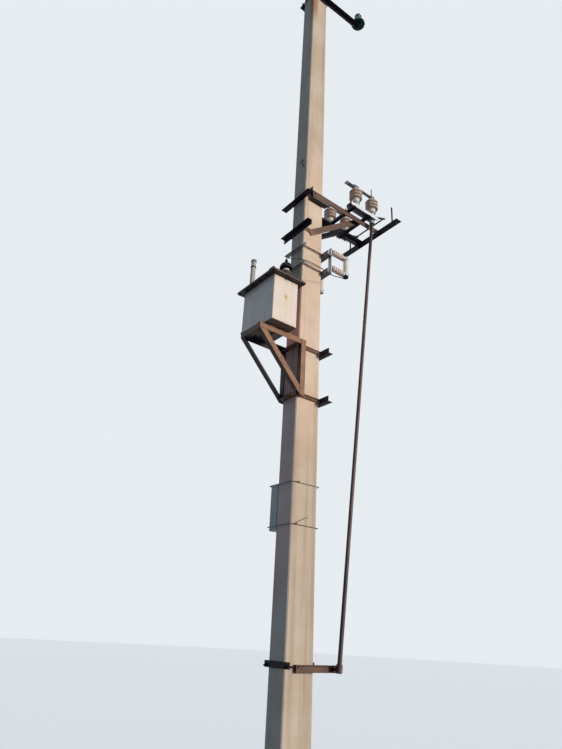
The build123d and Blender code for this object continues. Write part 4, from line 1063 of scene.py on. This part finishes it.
beads.piece("drive_weld_beads", "primed_steel")

# Contacts, blades and levers of the disconnector
JAW_Z, BLADE_Z = POST_TOP + 24, POST_TOP + 19
SPRING_X, SPRING_STEPS = 478, 60
LEVER = radians(-25)
LEVER_WAY = Vector((cos(LEVER), sin(LEVER), 0))
saddle = [(-26, -21), (24, -21), (28, -17), (28, 17), (24, 21), (-26, 21), (-30, 17), (-30, -17)]
for side, phase in PHASE.items():
    y = side * PHASE_Y
    contact = Shape()
    for x, z, way in ((450, JAW_Z, UP), (484, JAW_Z, UP), (450, POST_TOP, DOWN)):
        for dy in (-14, 14):
            contact.bolt((x, y + dy, z), way, 8, 4, 6)
    spring = []
    for k in range(SPRING_STEPS + 1):
        angle = k * 2 * pi / 12
        spot = (SPRING_X + 5.5 * cos(angle), y + 5.5 * sin(angle), JAW_Z + 1.5 + 13 * k / SPRING_STEPS)
        spring.append(spot)
    at = placed((SPRING_X, y, JAW_Z))
    contact.tube(spring, 1.2, 8)
    contact.rod(3, 20, at, 14)
    contact.washer(8, 2, raised(at, 15))
    contact.hexagon(9, 5, raised(at, 17))
    contact.piece(phase + "_jaw_fasteners", "contact_metal")
    hinge = Shape()
    at = placed((TURNING_X, y, BLADE_Z))
    hinge.prism(saddle, 5, at)
    for dx, dy in ((-18, -13), (-18, 13), (18, -13), (18, 13)):
        hinge.bolt((TURNING_X + dx, y + dy, BLADE_Z + 5), UP, 10, 5, 7)
    spike = Shape().lathe([(0, 0), (5, 0), (5, 108), (4, 112), (0, 112)], raised(at, 4), 18)
    spike.piece(phase + "_blade_spike", "dark_steel", COLUMNS[side])
    hinge.hexagon(14, 7, raised(at, 6))
    hinge.hexagon(14, 7, raised(at, 24))
    hinge.washer(10, 2, raised(at, 22))
    hinge.piece(phase + "_blade_saddle", "contact_metal", COLUMNS[side], bevel=0.5)
    hub = Shape()
    for reach in (30, 56):
        hub.bolt(Vector((TURNING_X, y, 5713.3)) + LEVER_WAY * reach, UP, 10, 5, 7)
    for c, s in around(4, 0.6):
        hub.hexagon(10, 4, placed((TURNING_X + 29 * c, y + 29 * s, 5733), (c, s, 0)))
    pin = Vector((TURNING_X, y, 5721.6)) + LEVER_WAY * 140
    hub.washer(8, 1.4, placed(pin))
    z = 5722.4
    hub.tube([(pin.x - 9, pin.y + 4, z), (pin.x, pin.y, z), (pin.x + 9, pin.y - 5, z)], 1.1, 8)
    hub.piece(phase + "_lever_fasteners", "galvanised_steel", COLUMNS[side])
    bearing = Shape().screws(36, 8, 3.5, (TURNING_X, y, BASE_TOP))
    bearing.piece(phase + "_bearing_screws", "galvanised_steel")

joint = Shape()
joint.rod(5, 66, placed((TURNING_X, -PHASE_Y - 33, 5634), (0, 1, 0)), 16)
for side in (-1, 1):
    joint.hexagon(15, 7, placed((TURNING_X, -PHASE_Y + side * 27, 5634), (0, side, 0)))
joint.lathe([(27.8, 6), (29.2, 7), (29.2, 12), (27.8, 13)], placed((TURNING_X, -PHASE_Y, 5604)), 40)
joint.piece("shaft_cup_cross_bolt", "galvanised_steel", "near_column")

# Weld rings, split pin and the foot collar's screw on the operating shaft
SHAFT_WAY = (SHAFT_HEAD - SHAFT_FOOT).normalized()
shaft = Shape()
bead = [(0, 0), (16.4, 0), (17.6, 1.5), (18.2, 4), (17.6, 6.5), (16.4, 8), (0, 8)]
for along in (1480.0, 2980.0):
    shaft.lathe(rounded(bead, 1.0), placed(SHAFT_FOOT + SHAFT_WAY * along, SHAFT_WAY), 40)
collar = SHAFT_FOOT + SHAFT_WAY * 27.5
side_way = SHAFT_WAY.cross(Vector((0, 1, 0))).normalized()
shaft.hexagon(10, 5, placed(collar - side_way * 22.6, -side_way))
shaft.rod(4, 48, placed(SHAFT_FOOT - SHAFT_WAY * 21 - Vector((24, 0, 0)), (1, 0, 0)), 14)
shaft.piece("shaft_weld_rings_and_pins", "shaft_paint", "operating_shaft")

# Low-voltage box
BOX_FACE, BOX_TOP = HALF_WIDTH + 100, 2694
x0 = -half_depth(BOX_LOW)
x1 = x0 + 270
door = Shape()
up_frame = Matrix.Translation((0, (BOX_FACE - 14) * MM, 0)) @ Matrix.Rotation(pi / 2, 4, "X")
for inset, low, high, lift in ((8, 2338, 2684, -12), (34, 2366, 2656, -14)):
    door.prism(rectangle(x0 + inset, low, x1 - inset, high), lift, up_frame)
door.piece("box_door_panel", "box_paint", bevel=2.2, stands_for=("box_door",))
hinges = Shape()
barrel = [(0, 0), (5, 0), (6, 1), (6, 15), (5, 16), (6, 17), (6, 37), (5, 38), (0, 38)]
for z in (2392, 2592):
    hinges.lathe(barrel, placed((x1 - 4, BOX_FACE - 8, z)), 20)
lock = placed((x0 + 40, BOX_FACE - 3, 2512), (0, 1, 0))
hinges.lathe([(0, 0), (13, 0), (13, 2), (8, 2.5), (8, 4.6), (0, 4.6)], lock, 32)
hinges.prism(rectangle(-3, -3, 3, 3), 5, lock)
hinges.piece("box_hinges_and_lock", "galvanised_steel", bevel=0.3)
seal = Shape().block((x0 + 5, BOX_FACE - 16, 2335), (x1 - 5, BOX_FACE - 13.5, 2687))
seal.piece("box_door_seal", "rubber")
glands = Shape()
gland = [(0, 8), (15, 8), (15, 16), (13, 22), (13, 30), (9, 31), (9, 22), (0, 22)]
for x in (x0 + 90, x0 + 180):
    at = placed((x, 140, BOX_LOW), DOWN)
    glands.hexagon(34, 8, at)
    glands.lathe(rounded(gland, 1.0), at, 36)
glands.piece("box_cable_glands", "rubber", bevel=0.6)
hood = Shape()
hood.block((x0 - 1, HALF_WIDTH + 1, BOX_TOP - 4), (x1 + 5, BOX_FACE + 1, BOX_TOP))
hood.block((x0 - 1, BOX_FACE - 1, BOX_TOP - 14), (x1 + 5, BOX_FACE + 1, BOX_TOP))
hood.piece("box_rain_hood", "box_paint", bevel=0.8)

# Twisted ends of the wire bands, and one end that stands off loose
ties = Shape()
for level, x in ((2360.0, -112.0), (2684.0, -104.0)):
    for start in (0, pi):
        twist = []
        for t in (k / 32 for k in range(33)):
            turn = start + t * 8 * pi
            base = Vector((x + 46 * t, -HALF_WIDTH - 5.5, level + 7 * t))
            twist.append(base + Vector((0, 2.2 * cos(turn), 2.2 * sin(turn))))
        ties.tube(twist, 1.6, 8)
loose = []
for t in (k / 20 for k in range(21)):
    away = HALF_WIDTH + 4 + 16 * sin(pi * t * 0.6)
    loose.append((-96 + 122 * t, -away, 2364 + 62 * t + 5 * sin(3 * t)))
ties.tube(loose, 2.0, 8)
ties.piece("band_wire_ends", "band_wire")

# Lifting loop and a cut rod end left in the concrete above the disconnector
LOOP_R = 6.0
pole_face = -half_depth(6040)
bow = []
for t in (k / 24 for k in range(25)):
    bow.append((pole_face + 10 - 34 * sin(pi * t), 10 - 70 * t, 6112 - 100 * t - 50 * t * t))
loop = Shape().tube(bow, LOOP_R)
loop.tube([(pole_face + 8, -38, 6076), (pole_face - 8, -38, 6077), (pole_face - 16, -40, 6084)], LOOP_R)
loop.piece("pole_lifting_loop", "band_wire")

# Floor, light and camera
FLOOR_R = 60
SUN_FROM, SUN_STRENGTH, SUN_SPREAD, SUN_COLOUR = (0.35, -0.92, 0.20), 2.6, 12, (1.0, 0.95, 0.88)
PICTURE_HEIGHT, FOCAL_PIXELS, SENSOR = 749, 560, 36
EYE = (-2.803, -3.456, 1.6)
AZIMUTH, TILT, ROLL = radians(53.3), radians(24.86), radians(3.12)


def pale_floor():
    """Pale to the camera and in reflections, calm where it lights the object from below."""
    f = Finish("pale_floor", Roughness=0.9, Emission_Strength=1.0)
    seen = f.seen_directly()
    f.ground(seen, (0.20, 0.20, 0.21), (0.90, 0.92, 0.94))
    return f.show(Emission_Color=f.mix(seen, (0.0, 0.0, 0.0), (0.34, 0.33, 0.31)))


bpy.ops.mesh.primitive_circle_add(vertices=128, radius=FLOOR_R, fill_type="NGON", location=(0, 0, 0))
floor = bpy.context.object
floor.name = "studio_floor"
floor.data.materials.append(pale_floor())

scene = bpy.context.scene
scene.world = bpy.data.worlds.new("soft_studio")
scene.world.use_nodes = True
studio = Wiring(scene.world.node_tree)
sky = studio.add("ShaderNodeBackground", None, {"Color": (0.56, 0.77, 1.0), "Strength": 0.32})
backdrop = studio.add("ShaderNodeBackground", None, {"Color": (0.80, 0.84, 0.88), "Strength": 1.0})
shown = {0: studio.seen_directly(), 1: sky["Background"], 2: backdrop["Background"]}
blend = studio.add("ShaderNodeMixShader", None, shown)["Shader"]
studio.feed(studio.tree.nodes["World Output"].inputs["Surface"], blend)

lamp = bpy.data.lights.new("key_light", "SUN")
lamp.energy = SUN_STRENGTH
lamp.angle = radians(SUN_SPREAD)
lamp.color = SUN_COLOUR
sun = bpy.data.objects.new("key_light", lamp)
sun.rotation_euler = (-Vector(SUN_FROM)).to_track_quat("-Z", "Y").to_euler()
scene.collection.objects.link(sun)

camera = bpy.data.cameras.new("camera")
camera.sensor_fit = "VERTICAL"
camera.sensor_height = SENSOR
camera.sensor_width = SENSOR
camera.lens = FOCAL_PIXELS / PICTURE_HEIGHT * SENSOR
camera.clip_end = 400
eye = bpy.data.objects.new("camera", camera)
forward = Vector((cos(TILT) * cos(AZIMUTH), cos(TILT) * sin(AZIMUTH), sin(TILT)))
level = Vector((sin(AZIMUTH), -cos(AZIMUTH), 0))
upward = level.cross(forward)
right = level * cos(ROLL) + upward * sin(ROLL)
above = right.cross(forward)
eye.matrix_world = Matrix.Translation(EYE) @ Matrix((right, above, -forward)).transposed().to_4x4()
scene.collection.objects.link(eye)
scene.camera = eye
scene.view_settings.view_transform = "Standard"
